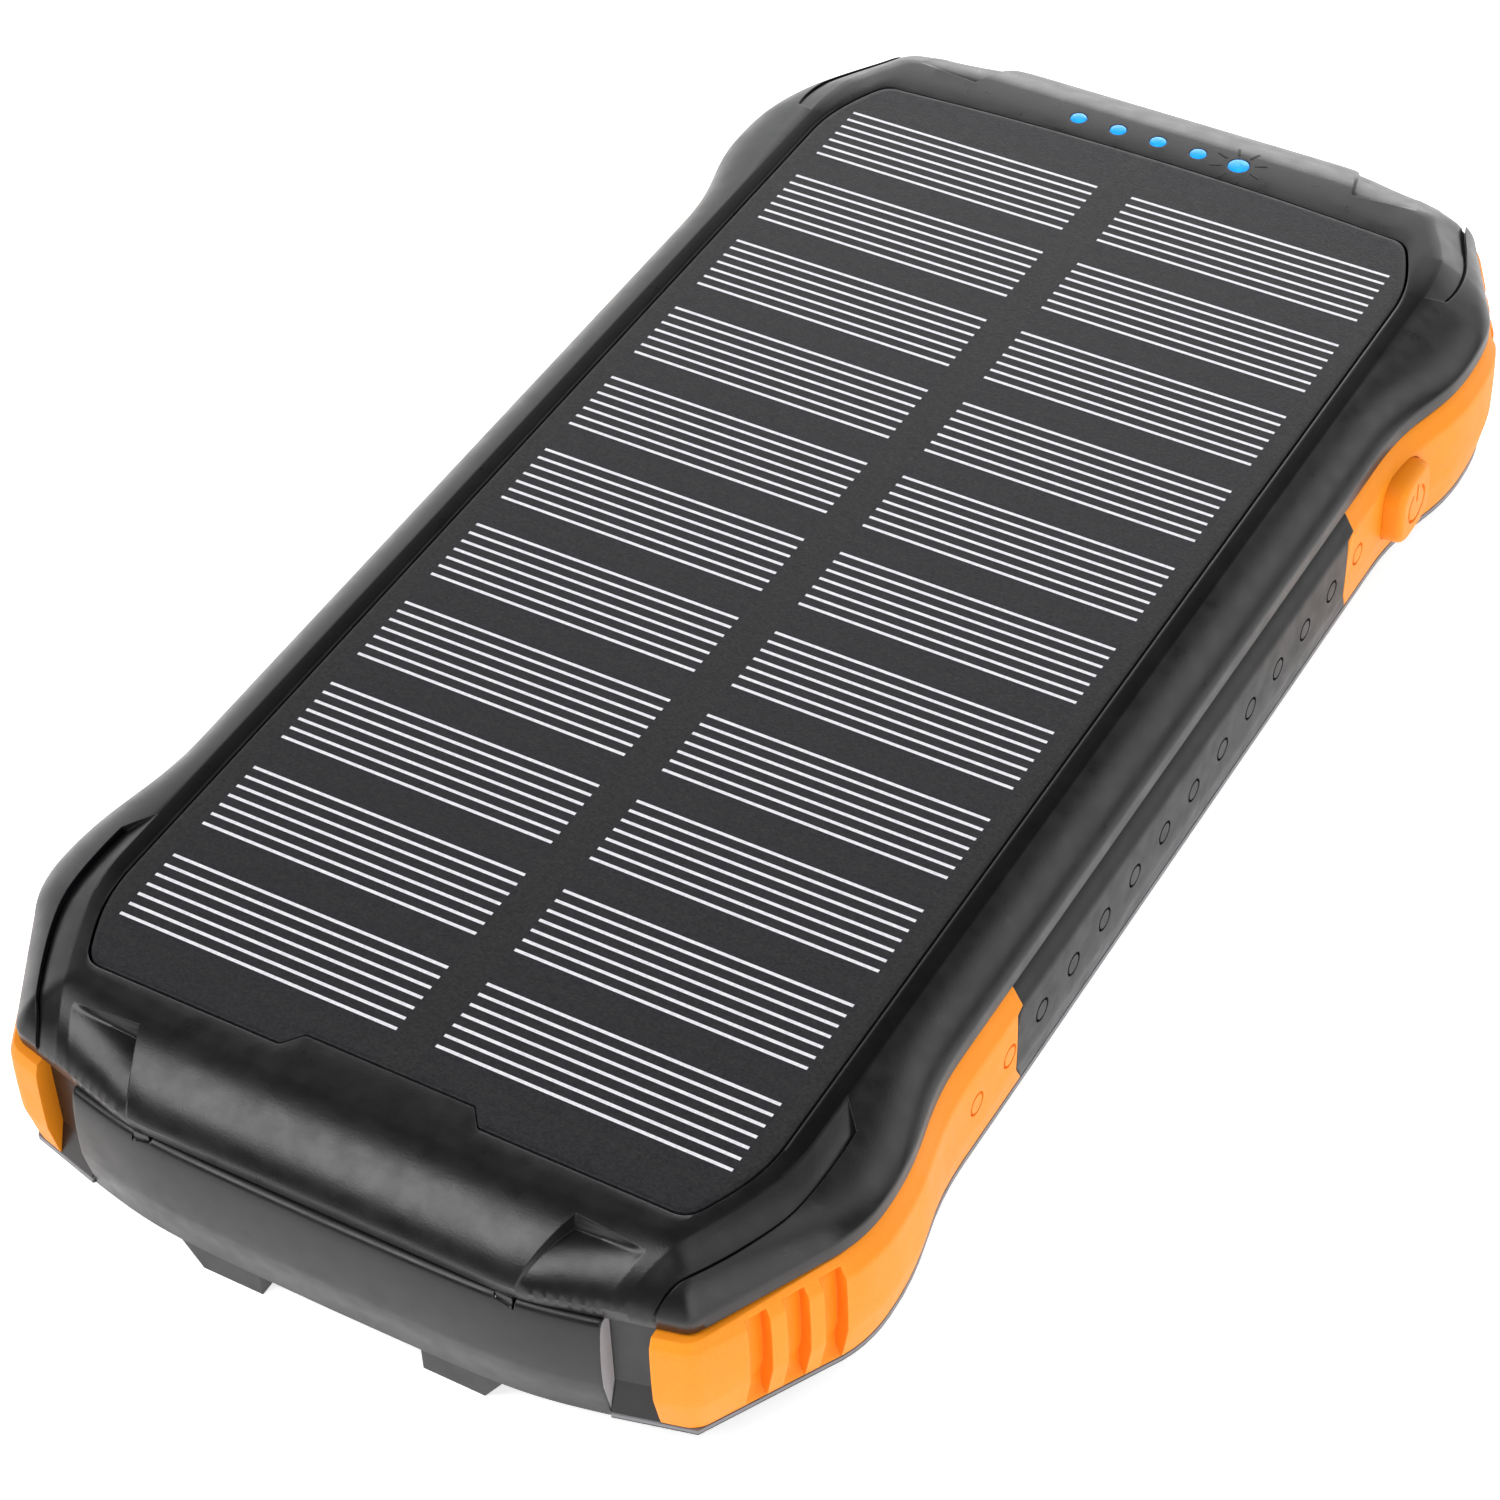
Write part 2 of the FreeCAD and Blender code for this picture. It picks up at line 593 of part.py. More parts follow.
def belt_parts():
    ring = belt_form().cut(slab(0, 30, BELT_INSIDE))
    right = ring.common(block(30, 50, -90, 90, 0, 30))
    rings = ring_cutters()
    near_cut = split_block(NEAR_SPLIT, -1, 0.0)
    far_cut = split_block(FAR_SPLIT, 1, 0.0)

    rail = right.cut([near_cut, far_cut]).cut(rings)
    save("side_rail_right", rail)
    save("side_rail_left", mirror_x(rail))

    corner = ring.common(block(BUMPER_END, 50, -90, 90, 0, 30))
    near = corner.common(split_block(NEAR_SPLIT, -1, SPLIT_GAP))
    near = near.cut(rings + grip_notches(NEAR_GRIP_LINE))
    save("bumper_near_right", near)
    save("bumper_near_left", mirror_x(near))

    far = corner.common(split_block(FAR_SPLIT, 1, SPLIT_GAP))
    far = far.cut(rings + grip_notches(FAR_GRIP_LINE))
    save("bumper_far_left", mirror_x(far))
    save("bumper_far_right", far.cut(button_window(30.0, 50.0, BUTTON_CLEARANCE)))


# ========================================================== power button
def power_symbol(x0, x1):
    """Open ring with a bar, the generic on/off sign, to engrave."""
    outer = rod((x0, BUTTON_Y, BUTTON_Z), 2.1, x1 - x0, (1, 0, 0))
    inner = rod((x0, BUTTON_Y, BUTTON_Z), 1.7, x1 - x0, (1, 0, 0))
    gap = block(x0, x1, BUTTON_Y - 0.75, BUTTON_Y + 0.75, BUTTON_Z, BUTTON_Z + 3)
    bar = block(x0, x1, BUTTON_Y - 0.2, BUTTON_Y + 0.2, BUTTON_Z + 0.4, BUTTON_Z + 2.6)
    return outer.cut(inner).cut(gap).fuse(bar)


def power_button():
    cap = button_window(38.6, BUTTON_FACE, 0.0)
    front = [e for e in cap.Edges if abs(e.CenterOfMass.x - BUTTON_FACE) < 1e-6]
    cap = cap.makeChamfer(0.45, front)
    cap = cap.cut(power_symbol(BUTTON_FACE - 0.3, BUTTON_FACE + 1))
    stem = rod((36.5, BUTTON_Y, BUTTON_Z), 1.6, 2.2, (1, 0, 0))
    save("power_button", cap.fuse(stem))

    save("switch_board", block(33.0, 34.0, BUTTON_Y - 6, BUTTON_Y + 6, 6.0, 17.0))
    body = block(34.0, 35.3, BUTTON_Y - 3, BUTTON_Y + 3, BUTTON_Z - 3, BUTTON_Z + 3)
    well = rod((34.5, BUTTON_Y, BUTTON_Z), 1.5 + BUTTON_CLEARANCE, 2.0, (1, 0, 0))
    save("switch_body", body.cut(well))
    save("switch_plunger", rod((35.2, BUTTON_Y, BUTTON_Z), 1.5, 1.3, (1, 0, 0)))


# ============================================================ electronics
def battery():
    for name, z0 in (("battery_cell_lower", 5.3), ("battery_cell_upper", 11.1)):
        cell = rounded_block(-30.0, 30.0, -54.0, 56.0, z0, z0 + 5.8, 3.0)
        save(name, cell)
    save("battery_tape", block(-24.0, 24.0, -48.0, 50.0, FLOOR_TOP, 5.3))
    pads = [block(-26.0, 26.0, y - 8, y + 8, 16.9, ROOF_UNDER) for y in (-38.0, 0.0, 40.0)]
    save("battery_foam", Part.makeCompound(pads))
    save("protection_board", block(-22.0, 22.0, 56.3, 57.3, 6.0, 14.0))


def socket_shell(x, half_wide, half_tall, y0, depth):
    outer = block(x - half_wide, x + half_wide, y0, y0 + depth, PORT_Z - half_tall, PORT_Z + half_tall)
    return outer.cut(block(x - half_wide + 0.35, x + half_wide - 0.35, y0 - 1, y0 + depth - 1.2,
                           PORT_Z - half_tall + 0.35, PORT_Z + half_tall - 0.35))


def main_board():
    top = PORT_Z - 2.9
    board = block(-27.5, 27.5, -76.4, -58.0, top - 1.4, top)
    holes = [rod((sx * 24.0, -62.5, 5), 0.9, 6, (0, 0, 1)) for sx in (-1, 1)]
    save("main_board", board.cut(holes))
    tongues = []
    for name, x, half_wide, half_tall in SOCKETS:
        depth = 14.0 if half_wide > 6 else 8.5
        shell = socket_shell(x, half_wide, half_tall, -81.2, depth)
        if PORT_Z - half_tall - top > 0.05:
            stand = block(x - half_wide + 0.6, x + half_wide - 0.6, -76.5, -81.2 + depth,
                          top, PORT_Z - half_tall)
            shell = shell.fuse(stand)
        save(name, shell)
        tongues.append(block(x - half_wide + 1.3, x + half_wide - 1.3, -80.2, -81.2 + depth - 1.2,
                             PORT_Z + 0.1, PORT_Z + 0.9))
    save("socket_tongues", Part.makeCompound(tongues))

    chips = [block(-9.0, -4.0, -66.0, -61.0, top, top + 0.9),
             block(8.0, 12.0, -64.5, -60.5, top, top + 0.9),
             block(-1.0, 3.0, -70.5, -67.5, top, top + 0.9)]
    save("control_chips", Part.makeCompound(chips))
    coils = [rounded_block(x - 3, x + 3, -66.5, -60.5, top, top + 3.2, 1.2) for x in (-15.5, 17.0)]
    save("power_inductors", Part.makeCompound(coils))
    cans = [rod((x, -62.5, top), 1.9, 4.5, (0, 0, 1)) for x in (1.0, 5.2)]
    save("filter_capacitors", Part.makeCompound(cans))
    screws = []
    for sx in (-1, 1):
        head = rod((sx * 24.0, -62.5, top), 1.5, 1.0, (0, 0, 1))
        screws.append(head.fuse(rod((sx * 24.0, -62.5, 5.4), 0.7, top - 5.4, (0, 0, 1))))
        head = rod((sx * 24.0, 74.0, 12.1), 1.5, 1.0, (0, 0, 1))
        screws.append(head.fuse(rod((sx * 24.0, 74.0, 5.4), 0.7, 6.7, (0, 0, 1))))
    save("board_screws", Part.makeCompound(screws))


def indicator_board():
    board = block(-27.0, 27.0, 69.5, 79.6, 11.0, 12.1).common(
        slab(0, 30, WALL_INSIDE - 0.15))
    board = board.cut([rod((sx * 24.0, 74.0, 10), 0.9, 4, (0, 0, 1)) for sx in (-1, 1)])
    save("indicator_board", board)
    lamps = []
    for x in [FIRST_DOT_X + count * DOT_PITCH for count in range(5)]:
        lamps.append(block(x - 0.8, x + 0.8, DOT_Y - 0.8, DOT_Y + 0.8, 12.1, 12.9))
    save("indicator_leds", Part.makeCompound(lamps))


def lead(points, radius):
    """Round wire following a chain of points with balls at the bends."""
    pieces = []
    for start, end in zip(points[:-1], points[1:]):
        a = Vector(*start)
        b = Vector(*end)
        pieces.append(Part.makeCylinder(radius, (b - a).Length, a, b - a))
    for bend in points[1:-1]:
        pieces.append(Part.makeSphere(radius, Vector(*bend)))
    return pieces[0].fuse(pieces[1:])


def wiring():
    r = 0.75
    save("battery_lead_positive", lead([(-22.0, -54.8, 14.5), (-22.0, -59.0, 14.5),
                                        (-22.0, -59.0, 9.95)], r))
    save("battery_lead_negative", lead([(22.0, -54.8, 14.5), (22.0, -59.0, 14.5),
                                        (22.0, -59.0, 9.95)], r))
    save("panel_lead_positive", lead([(-1.0, -66.0, PANEL_SEAT + 0.1), (-1.0, -66.0, 16.5),
                                      (-2.0, -59.0, 16.5), (-2.0, -59.0, 9.2)], 0.6))
    save("panel_lead_negative", lead([(1.0, -66.0, PANEL_SEAT + 0.1), (1.0, -66.0, 16.5),
                                      (9.0, -59.0, 16.5), (9.0, -59.0, 9.2)], 0.6))
    flex = block(-30.6, -30.3, -57.6, 70.5, 6.2, 10.4)
    flex = flex.fuse(block(-30.6, -26.0, -58.0, -57.6, 6.2, 7.7))
    flex = flex.fuse(block(-30.6, -25.0, 70.1, 70.5, 6.2, 10.9))
    save("indicator_ribbon", flex)


solar_panel()
upper_shell()
lower_shell()
feet()
port_frame()
port_cover()
belt_parts()
power_button()
battery()
main_board()
indicator_board()
wiring()
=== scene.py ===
import json
import math

import bmesh
import bpy
import numpy as np
from mathutils import Matrix, Vector
from mathutils.bvhtree import BVHTree


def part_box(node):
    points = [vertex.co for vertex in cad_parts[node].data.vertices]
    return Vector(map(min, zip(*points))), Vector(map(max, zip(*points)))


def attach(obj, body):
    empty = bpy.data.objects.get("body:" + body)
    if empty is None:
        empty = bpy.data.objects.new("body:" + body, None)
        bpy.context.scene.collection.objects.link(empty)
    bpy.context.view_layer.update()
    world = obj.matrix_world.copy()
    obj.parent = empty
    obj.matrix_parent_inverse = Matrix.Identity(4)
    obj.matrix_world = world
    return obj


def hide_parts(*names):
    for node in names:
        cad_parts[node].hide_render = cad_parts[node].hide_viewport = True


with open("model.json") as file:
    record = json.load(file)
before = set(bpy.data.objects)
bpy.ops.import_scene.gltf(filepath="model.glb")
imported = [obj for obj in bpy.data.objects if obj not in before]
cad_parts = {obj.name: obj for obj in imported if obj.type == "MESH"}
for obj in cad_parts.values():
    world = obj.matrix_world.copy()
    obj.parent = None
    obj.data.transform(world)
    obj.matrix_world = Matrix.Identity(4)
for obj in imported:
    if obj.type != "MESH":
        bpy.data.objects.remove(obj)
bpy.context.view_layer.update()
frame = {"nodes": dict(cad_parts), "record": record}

MM = 0.001

# ------------------------------------------------------------------ heights
# Millimetres above the plane the feet stand on, as in the CAD model.
BELT_BOTTOM = 4.2
BAND_LOW = 8.3
BAND_HIGH = 15.3
BELT_TOP = 17.45
LIP_BOTTOM = 17.65
LIP_TOP = 19.3
CREASE_Z = 22.7
BEZEL_Z = 22.8
PANEL_Z = 22.85
PANEL_SEAT = 20.7

# The outlines below are measured from the middle of the solar panel, which
# sits a little nearer one end of the case than the other.
PANEL_SHIFT = -1.4

# --------------------------------------------------- plan shape of the body
# Quarter outlines from the middle of the side to the end facet.
NEAR_LIP = np.array([
    (40.1, 0.0), (40.1, 43.0), (40.1, 51.5), (42.4, 53.0), (42.4, 61.0),
    (42.4, 64.0), (41.7, 66.3), (40.5, 68.2), (34.25, 79.6), (19.8, 83.3)])
FAR_LIP = np.array([
    (40.1, 0.0), (40.1, 45.0), (40.1, 53.5), (42.6, 55.0), (42.6, 62.0),
    (42.6, 66.5), (42.0, 69.2), (40.6, 71.5), (34.2, 83.0), (19.5, 87.0)])
NEAR_CREASE = np.array([
    (35.7, 0.0), (35.7, 43.0), (35.7, 51.0), (35.7, 52.5), (35.7, 60.5),
    (35.7, 63.2), (35.2, 65.4), (34.5, 67.3), (30.8, 75.4), (21.5, 76.7)])
FAR_CREASE = np.array([
    (35.7, 0.0), (35.7, 43.0), (35.7, 51.0), (35.7, 52.5), (35.7, 62.5),
    (35.7, 66.5), (35.5, 69.2), (34.8, 72.2), (30.8, 78.8), (21.5, 80.1)])
PUSH = np.array([
    (1.0, 0.0), (1.0, 0.0), (1.0, 0.0), (1.0, 0.0), (1.0, 0.0),
    (1.0, 0.04), (1.0, 0.10), (1.0, 0.25), (0.68, 0.86), (0.12, 1.0)])
BEVEL_START = math.radians(18.0)
BEVEL_END = math.radians(70.0)
SOFT_END = math.radians(86.0)
SOFT_FROM = 62.0
SOFT_OVER = 12.0
OPENING_HALF = 33.8
OPENING_END = 73.2
DROOP_FROM = 66.0
DROOP_OVER = 13.6
DROOP = 1.05


# ================================================================= outlines
def cubic(p, count):
    t = np.linspace(0, 1, count, endpoint=False)[:, None]
    return ((1 - t) ** 3 * p[0] + 3 * (1 - t) ** 2 * t * p[1]
            + 3 * (1 - t) * t ** 2 * p[2] + t ** 3 * p[3])


def straight(a, b, count):
    t = np.linspace(0, 1, count, endpoint=False)[:, None]
    return a + (b - a) * t


def toward(a, b, reach):
    return a + (b - a) / np.linalg.norm(b - a) * reach


def corner(before, point, after, reach, count):
    a = toward(point, before, reach)
    b = toward(point, after, reach)
    t = np.linspace(0, 1, count, endpoint=False)[:, None]
    return (1 - t) ** 2 * a + 2 * (1 - t) * t * point + t ** 2 * b


SIDE_COUNT = 60
CORNER_REACH = 0.9
FACET_REACH = 2.6


def quarter(far, blend=0.0, grow=0.0):
    """Points of one quarter, from the middle of the side to the middle of the end."""
    lip, crease = (FAR_LIP, FAR_CREASE) if far else (NEAR_LIP, NEAR_CREASE)
    p = lip + (crease - lip) * blend + PUSH * grow
    end = np.array([0.0, p[9, 1]])
    parts = [
        straight(p[0], p[1], SIDE_COUNT),
        cubic(p[1:5], 56),
        cubic(p[4:8], 44),
        straight(p[7], toward(p[8], p[7], CORNER_REACH), 44),
        corner(p[7], p[8], p[9], CORNER_REACH, 8),
        straight(toward(p[8], p[9], CORNER_REACH), toward(p[9], p[8], FACET_REACH), 40),
        corner(p[8], p[9], end, FACET_REACH, 12),
        straight(toward(p[9], end, FACET_REACH), end, 76),
        end[None, :]]
    return np.vstack(parts)


def full_turn(near_quarter, far_quarter):
    """Closed loop made of four mirrored quarters, starting at the +X side."""
    second = (far_quarter * (-1, 1))[::-1][1:]
    third = (near_quarter * (-1, -1))[1:]
    fourth = (near_quarter * (1, -1))[::-1][1:-1]
    return np.vstack([far_quarter, second, third, fourth])


def droop(y):
    """How far the lip hangs down at a given distance from the middle."""
    return DROOP * ((np.abs(y) - DROOP_FROM) / DROOP_OVER).clip(0, 1)


def at_height(points, z):
    return np.column_stack([points, np.full(len(points), z)])


# =================================================================== meshes
def new_mesh(name, verts, faces, smooth_angle=32.0):
    mesh = bpy.data.meshes.new(name)
    placed = (np.asarray(verts, float) + (0, PANEL_SHIFT, 0)) * MM
    mesh.from_pydata([tuple(v) for v in placed], [], faces)
    bm = bmesh.new()
    bm.from_mesh(mesh)
    bmesh.ops.remove_doubles(bm, verts=bm.verts, dist=1e-7)
    bmesh.ops.recalc_face_normals(bm, faces=bm.faces)
    bm.to_mesh(mesh)
    bm.free()
    piece = bpy.data.objects.new(name, mesh)
    bpy.context.collection.objects.link(piece)
    smooth(piece, smooth_angle)
    return piece


def smooth(piece, angle=32.0):
    mesh = piece.data
    mesh.polygons.foreach_set("use_smooth", [True] * len(mesh.polygons))
    mesh.set_sharp_from_angle(angle=math.radians(angle))
    mesh.update()


def grid_faces(rows, columns, close_columns, close_rows, start=0):
    faces = []
    row_steps = rows if close_rows else rows - 1
    column_steps = columns if close_columns else columns - 1
    for r in range(row_steps):
        for c in range(column_steps):
            a = start + r * columns + c
            b = start + r * columns + (c + 1) % columns
            d = start + ((r + 1) % rows) * columns + c
            e = start + ((r + 1) % rows) * columns + (c + 1) % columns
            faces.append((a, b, e, d))
    return faces


def loop_shell(name, rows, smooth_angle=32.0):
    """Ring-shaped solid: every row is a closed loop and the rows close too."""
    verts = np.vstack(rows)
    return new_mesh(name, verts, grid_faces(len(rows), len(rows[0]), True, True), smooth_angle)


def strip_solid(name, rows, smooth_angle=32.0):
    """Solid whose section runs round the rows; the two ends get caps."""
    count = len(rows[0])
    verts = np.vstack(rows)
    faces = grid_faces(len(rows), count, False, True)
    faces.append(tuple(r * count for r in range(len(rows))))
    faces.append(tuple(r * count + count - 1 for r in reversed(range(len(rows)))))
    return new_mesh(name, verts, faces, smooth_angle)


def stacked_solid(name, rows, smooth_angle=32.0):
    """Solid of closed loops stacked from bottom to top, with flat ends."""
    count = len(rows[0])
    verts = np.vstack(rows)
    faces = grid_faces(len(rows), count, True, False)
    faces.append(tuple(range(count)))
    faces.append(tuple(range((len(rows) - 1) * count, len(rows) * count)))
    return new_mesh(name, verts, faces, smooth_angle)


def join(pieces, name):
    bpy.ops.object.select_all(action="DESELECT")
    for piece in pieces:
        piece.select_set(True)
    bpy.context.view_layer.objects.active = pieces[0]
    bpy.ops.object.join()
    pieces[0].name = name
    pieces[0].data.name = name
    return pieces[0]


def cut(piece, cutters):
    """Subtracts each closed cutter mesh from the piece."""
    for cutter in cutters:
        modifier = piece.modifiers.new("cut", "BOOLEAN")
        modifier.operation = "DIFFERENCE"
        modifier.solver = "EXACT"
        modifier.object = cutter
        bpy.context.view_layer.objects.active = piece
        bpy.ops.object.modifier_apply(modifier=modifier.name)
        bpy.data.objects.remove(cutter, do_unlink=True)
    smooth(piece)


def mirrored(piece, name, axes):
    """Copy of a piece mirrored in the given axes, such as (-1, 1, 1)."""
    mesh = piece.data.copy()
    mesh.transform(Matrix.Diagonal((*axes, 1)))
    if axes[0] * axes[1] * axes[2] < 0:
        mesh.flip_normals()
    mesh.update()
    copy = bpy.data.objects.new(name, mesh)
    bpy.context.collection.objects.link(copy)
    return copy


# ================================================================ top cover
def bevel_level(angle, last):
    """Share of the way in and height, for points whose bevel turns up to the angle last."""
    blend = (math.cos(BEVEL_START) - np.cos(angle)) / (math.cos(BEVEL_START) - np.cos(last))
    rise = (np.sin(angle) - math.sin(BEVEL_START)) / (np.sin(last) - math.sin(BEVEL_START))
    return blend, LIP_TOP + (CREASE_Z - LIP_TOP) * rise


def bevel_rows():
    """Rounded slope above the lip: creased along the sides, soft at the ends."""
    low = full_turn(quarter(False), quarter(True))
    high = full_turn(quarter(False, 1.0), quarter(True, 1.0))
    share = np.clip((np.abs(low[:, 1]) - SOFT_FROM) / SOFT_OVER, 0, 1)
    last = BEVEL_END + (SOFT_END - BEVEL_END) * share * share * (3 - 2 * share)
    rows = []
    for step in range(1, 41):
        blend, z = bevel_level(BEVEL_START + (last - BEVEL_START) * step / 40, last)
        loop = low + (high - low) * blend[:, None]
        rows.append(np.column_stack([loop, z - (1 - blend) * droop(loop[:, 1])]))
    return rows


def opening_quarter(crease_line, near):
    """Edge of the panel opening, one point for each point of the crease line."""
    w = OPENING_HALF
    h = OPENING_END
    turn = np.vstack([
        cubic(np.array([(w, h - 11), (w, h - 7), (w - 1.1, h - 4.6), (w - 2.3, h - 2)]), 30),
        cubic(np.array([(w - 2.3, h - 2), (w - 2.9, h - 0.7), (w - 3.6, h), (w - 4.8, h)]), 20),
        [(w - 4.8, h)]])
    lengths = np.concatenate([[0], np.cumsum(np.linalg.norm(np.diff(turn, axis=0), axis=1))])
    x, y = crease_line[:, 0], crease_line[:, 1]
    on_side = y <= h - 11
    on_end = x <= w - 4.8
    out = np.zeros_like(crease_line)
    out[on_side] = np.column_stack([np.full(on_side.sum(), w), y[on_side]])
    out[on_end, 0] = x[on_end]
    out[on_end, 1] = end_edge(x[on_end], near)
    between = ~on_side & ~on_end
    place = np.linspace(0, lengths[-1], between.sum() + 2)[1:-1]
    out[between, 0] = np.interp(place, lengths, turn[:, 0])
    out[between, 1] = np.interp(place, lengths, turn[:, 1])
    return out


def end_edge(x, near, shrink=0.0):
    """How far the panel opening reaches at each x along an end."""
    h = OPENING_END - shrink
    x = np.abs(x)
    if near:
        return np.interp(x, [0, 8.6 + shrink, 10.1 + shrink, 40], [h - 1.9, h - 1.9, h, h])
    return h + 1.2 * (1 - (x / (OPENING_HALF - 4.8)) ** 2).clip(0, 1)


# Lip profile from the bottom up: height, growth along the sides, growth at the ends.
LIP_PROFILE = [(LIP_BOTTOM, -0.30, -0.42), (LIP_BOTTOM + 0.05, -0.12, -0.30), (LIP_BOTTOM + 0.22, 0.0, -0.24),
               (LIP_TOP - 0.16, 0.0, -0.03), (LIP_TOP - 0.06, -0.02, 0.0)]
TUCK_FROM = 78.0
TUCK_OVER = 4.0


def lip_rows():
    """Band below the bevel: upright along the sides, tucked in at the ends."""
    rows = []
    for z, beside, ends in LIP_PROFILE:
        low = full_turn(quarter(False, 0.0, beside), quarter(True, 0.0, beside))
        high = full_turn(quarter(False, 0.0, ends), quarter(True, 0.0, ends))
        share = np.clip((np.abs(low[:, 1]) - TUCK_FROM) / TUCK_OVER, 0, 1)
        loop = low + (high - low) * share[:, None]
        rows.append(np.column_stack([loop, z - droop(loop[:, 1])]))
    return rows


def top_cover():
    rows = []

    def add(z, blend=0.0, grow=0.0):
        loop = full_turn(quarter(False, blend, grow), quarter(True, blend, grow))
        rows.append(np.column_stack([loop, z - (1 - blend) * droop(loop[:, 1])]))

    add(LIP_BOTTOM, grow=-5.0)
    rows.extend(lip_rows())
    rows.extend(bevel_rows())
    for inset, rise in ((0.2, 0.033), (0.45, 0.066), (0.7, 0.088), (0.95, 0.1)):
        add(CREASE_Z + rise, 1.0, -inset)
    near_edge = opening_quarter(quarter(False, 1.0, -0.3), True)
    far_edge = opening_quarter(quarter(True, 1.0, -0.3), False)
    edge = full_turn(near_edge, far_edge)
    last = rows[-1][:, :2]
    for fraction, z in ((0.45, BEZEL_Z), (0.9, BEZEL_Z)):
        rows.append(at_height(last + (edge - last) * fraction, z))
    rows.append(at_height(edge, BEZEL_Z - 0.05))
    rows.append(at_height(edge, PANEL_SEAT + 0.3))
    return loop_shell("shell_top", rows)


# --------------------------------------------- details cut in the top cover
class Surface:
    """Height of a piece's upper surface at any plan position."""

    def __init__(self, piece):
        mesh = bmesh.new()
        mesh.from_mesh(piece.data)
        self.tree = BVHTree.FromBMesh(mesh)
        mesh.free()

    def hit(self, x, y):
        origin = Vector((x * MM, (y + PANEL_SHIFT) * MM, 1.0))
        return self.tree.ray_cast(origin, Vector((0, 0, -1)))

    def z(self, x, y, missing=LIP_TOP):
        place = self.hit(x, y)[0]
        return missing if place is None else place.z / MM


def curve_through(points, count):
    """Smooth line through the points (Catmull-Rom), resampled by length."""
    p = np.array(points, float)
    p = np.vstack([2 * p[0] - p[1], p, 2 * p[-1] - p[-2]])
    t = np.linspace(0, 1, 12, endpoint=False)[:, None]
    parts = []
    for a, b, c, d in zip(p, p[1:], p[2:], p[3:]):
        parts.append(0.5 * (2 * b + (c - a) * t + (2 * a - 5 * b + 4 * c - d) * t ** 2
                            + (3 * b - a - 3 * c + d) * t ** 3))
    line = np.vstack(parts + [p[-2:-1]])
    lengths = np.concatenate([[0], np.cumsum(np.linalg.norm(np.diff(line, axis=0), axis=1))])
    place = np.linspace(0, lengths[-1], count)
    return np.column_stack([np.interp(place, lengths, line[:, k]) for k in (0, 1)])


def grid_solid(low, high, rows, columns):
    """Closed cutter between two height fields over the same grid of plan points."""
    count = rows * columns
    faces = grid_faces(rows, columns, False, False)
    faces += [tuple(v + count for v in face) for face in grid_faces(rows, columns, False, False)]
    edge = ([c for c in range(columns)] + [r * columns + columns - 1 for r in range(1, rows)]
            + [(rows - 1) * columns + c for c in range(columns - 2, -1, -1)]
            + [r * columns for r in range(rows - 2, 0, -1)])
    for a, b in zip(edge, edge[1:] + edge[:1]):
        faces.append((a, b, b + count, a + count))
    return new_mesh("cutter", low + high, faces)


# Corner guard: the facet between the bezel and this line lies a little lower,
# with a narrow groove along the guard.
NEAR_GUARD = [(37.9, 57.8), (38.0, 60.6), (37.9, 64.5), (37.5, 67.5), (36.6, 70.3),
              (35.0, 73.8), (33.3, 76.9), (31.8, 79.3), (30.4, 83.4)]
NEAR_FACET = [(35.5, 55.3), (35.5, 58.5), (35.5, 62.5), (35.0, 65.3), (34.3, 67.5),
              (32.6, 71.6), (30.9, 75.4), (29.6, 78.4), (27.6, 83.4)]
FAR_GUARD = [(37.8, 66.6), (38.0, 68.6), (37.8, 70.9), (37.1, 73.6), (35.7, 77.0),
             (34.2, 80.3), (32.6, 84.6)]
FAR_FACET = [(35.5, 65.6), (35.5, 67.5), (35.3, 69.6), (34.7, 72.2), (33.1, 75.2),
             (31.2, 78.6), (29.6, 84.6)]
GUARD_STATIONS = 76
GROOVE_WIDTH = 0.30
GROOVE_DEPTH = 0.30


def guard_cutter(surface, sx, sy, guard, facet, first_depth, last_depth):
    outer = curve_through(guard, GUARD_STATIONS)
    inner = curve_through(facet, GUARD_STATIONS)
    low, high = [], []
    columns = 9
    for k in range(GUARD_STATIONS):
        depth = first_depth + (last_depth - first_depth) * k / (GUARD_STATIONS - 1)
        groove = GROOVE_WIDTH / np.linalg.norm(inner[k] - outer[k])
        across = [0.0, groove * 0.35, groove, groove + 0.03, 0.3, 0.5, 0.7, 0.88, 1.03]
        sink = [depth + GROOVE_DEPTH * 0.8, depth + GROOVE_DEPTH, depth + GROOVE_DEPTH * 0.9, depth,
                depth * 0.74, depth * 0.53, depth * 0.31, depth * 0.12, -0.06]
        for s, down in zip(across, sink):
            x, y = outer[k] + (inner[k] - outer[k]) * s
            base = surface.z(sx * x, sy * y, LIP_TOP - 1.6)
            low.append((sx * x, sy * y, base - down))
            high.append((sx * x, sy * y, 27.0))
    return grid_solid(low, high, GUARD_STATIONS, columns)


# Shallow pocket beside each end tongue: top inner and outer corner, then the
# foot of the tongue's wall at the lip.
NEAR_RECESS = ((22.0, 76.9), (29.0, 77.2), (19.3, 83.8))
FAR_RECESS = ((22.1, 78.0), (29.4, 78.6), (19.2, 87.6))
RECESS_DEPTH = 1.55
RECESS_SLANT = 0.05


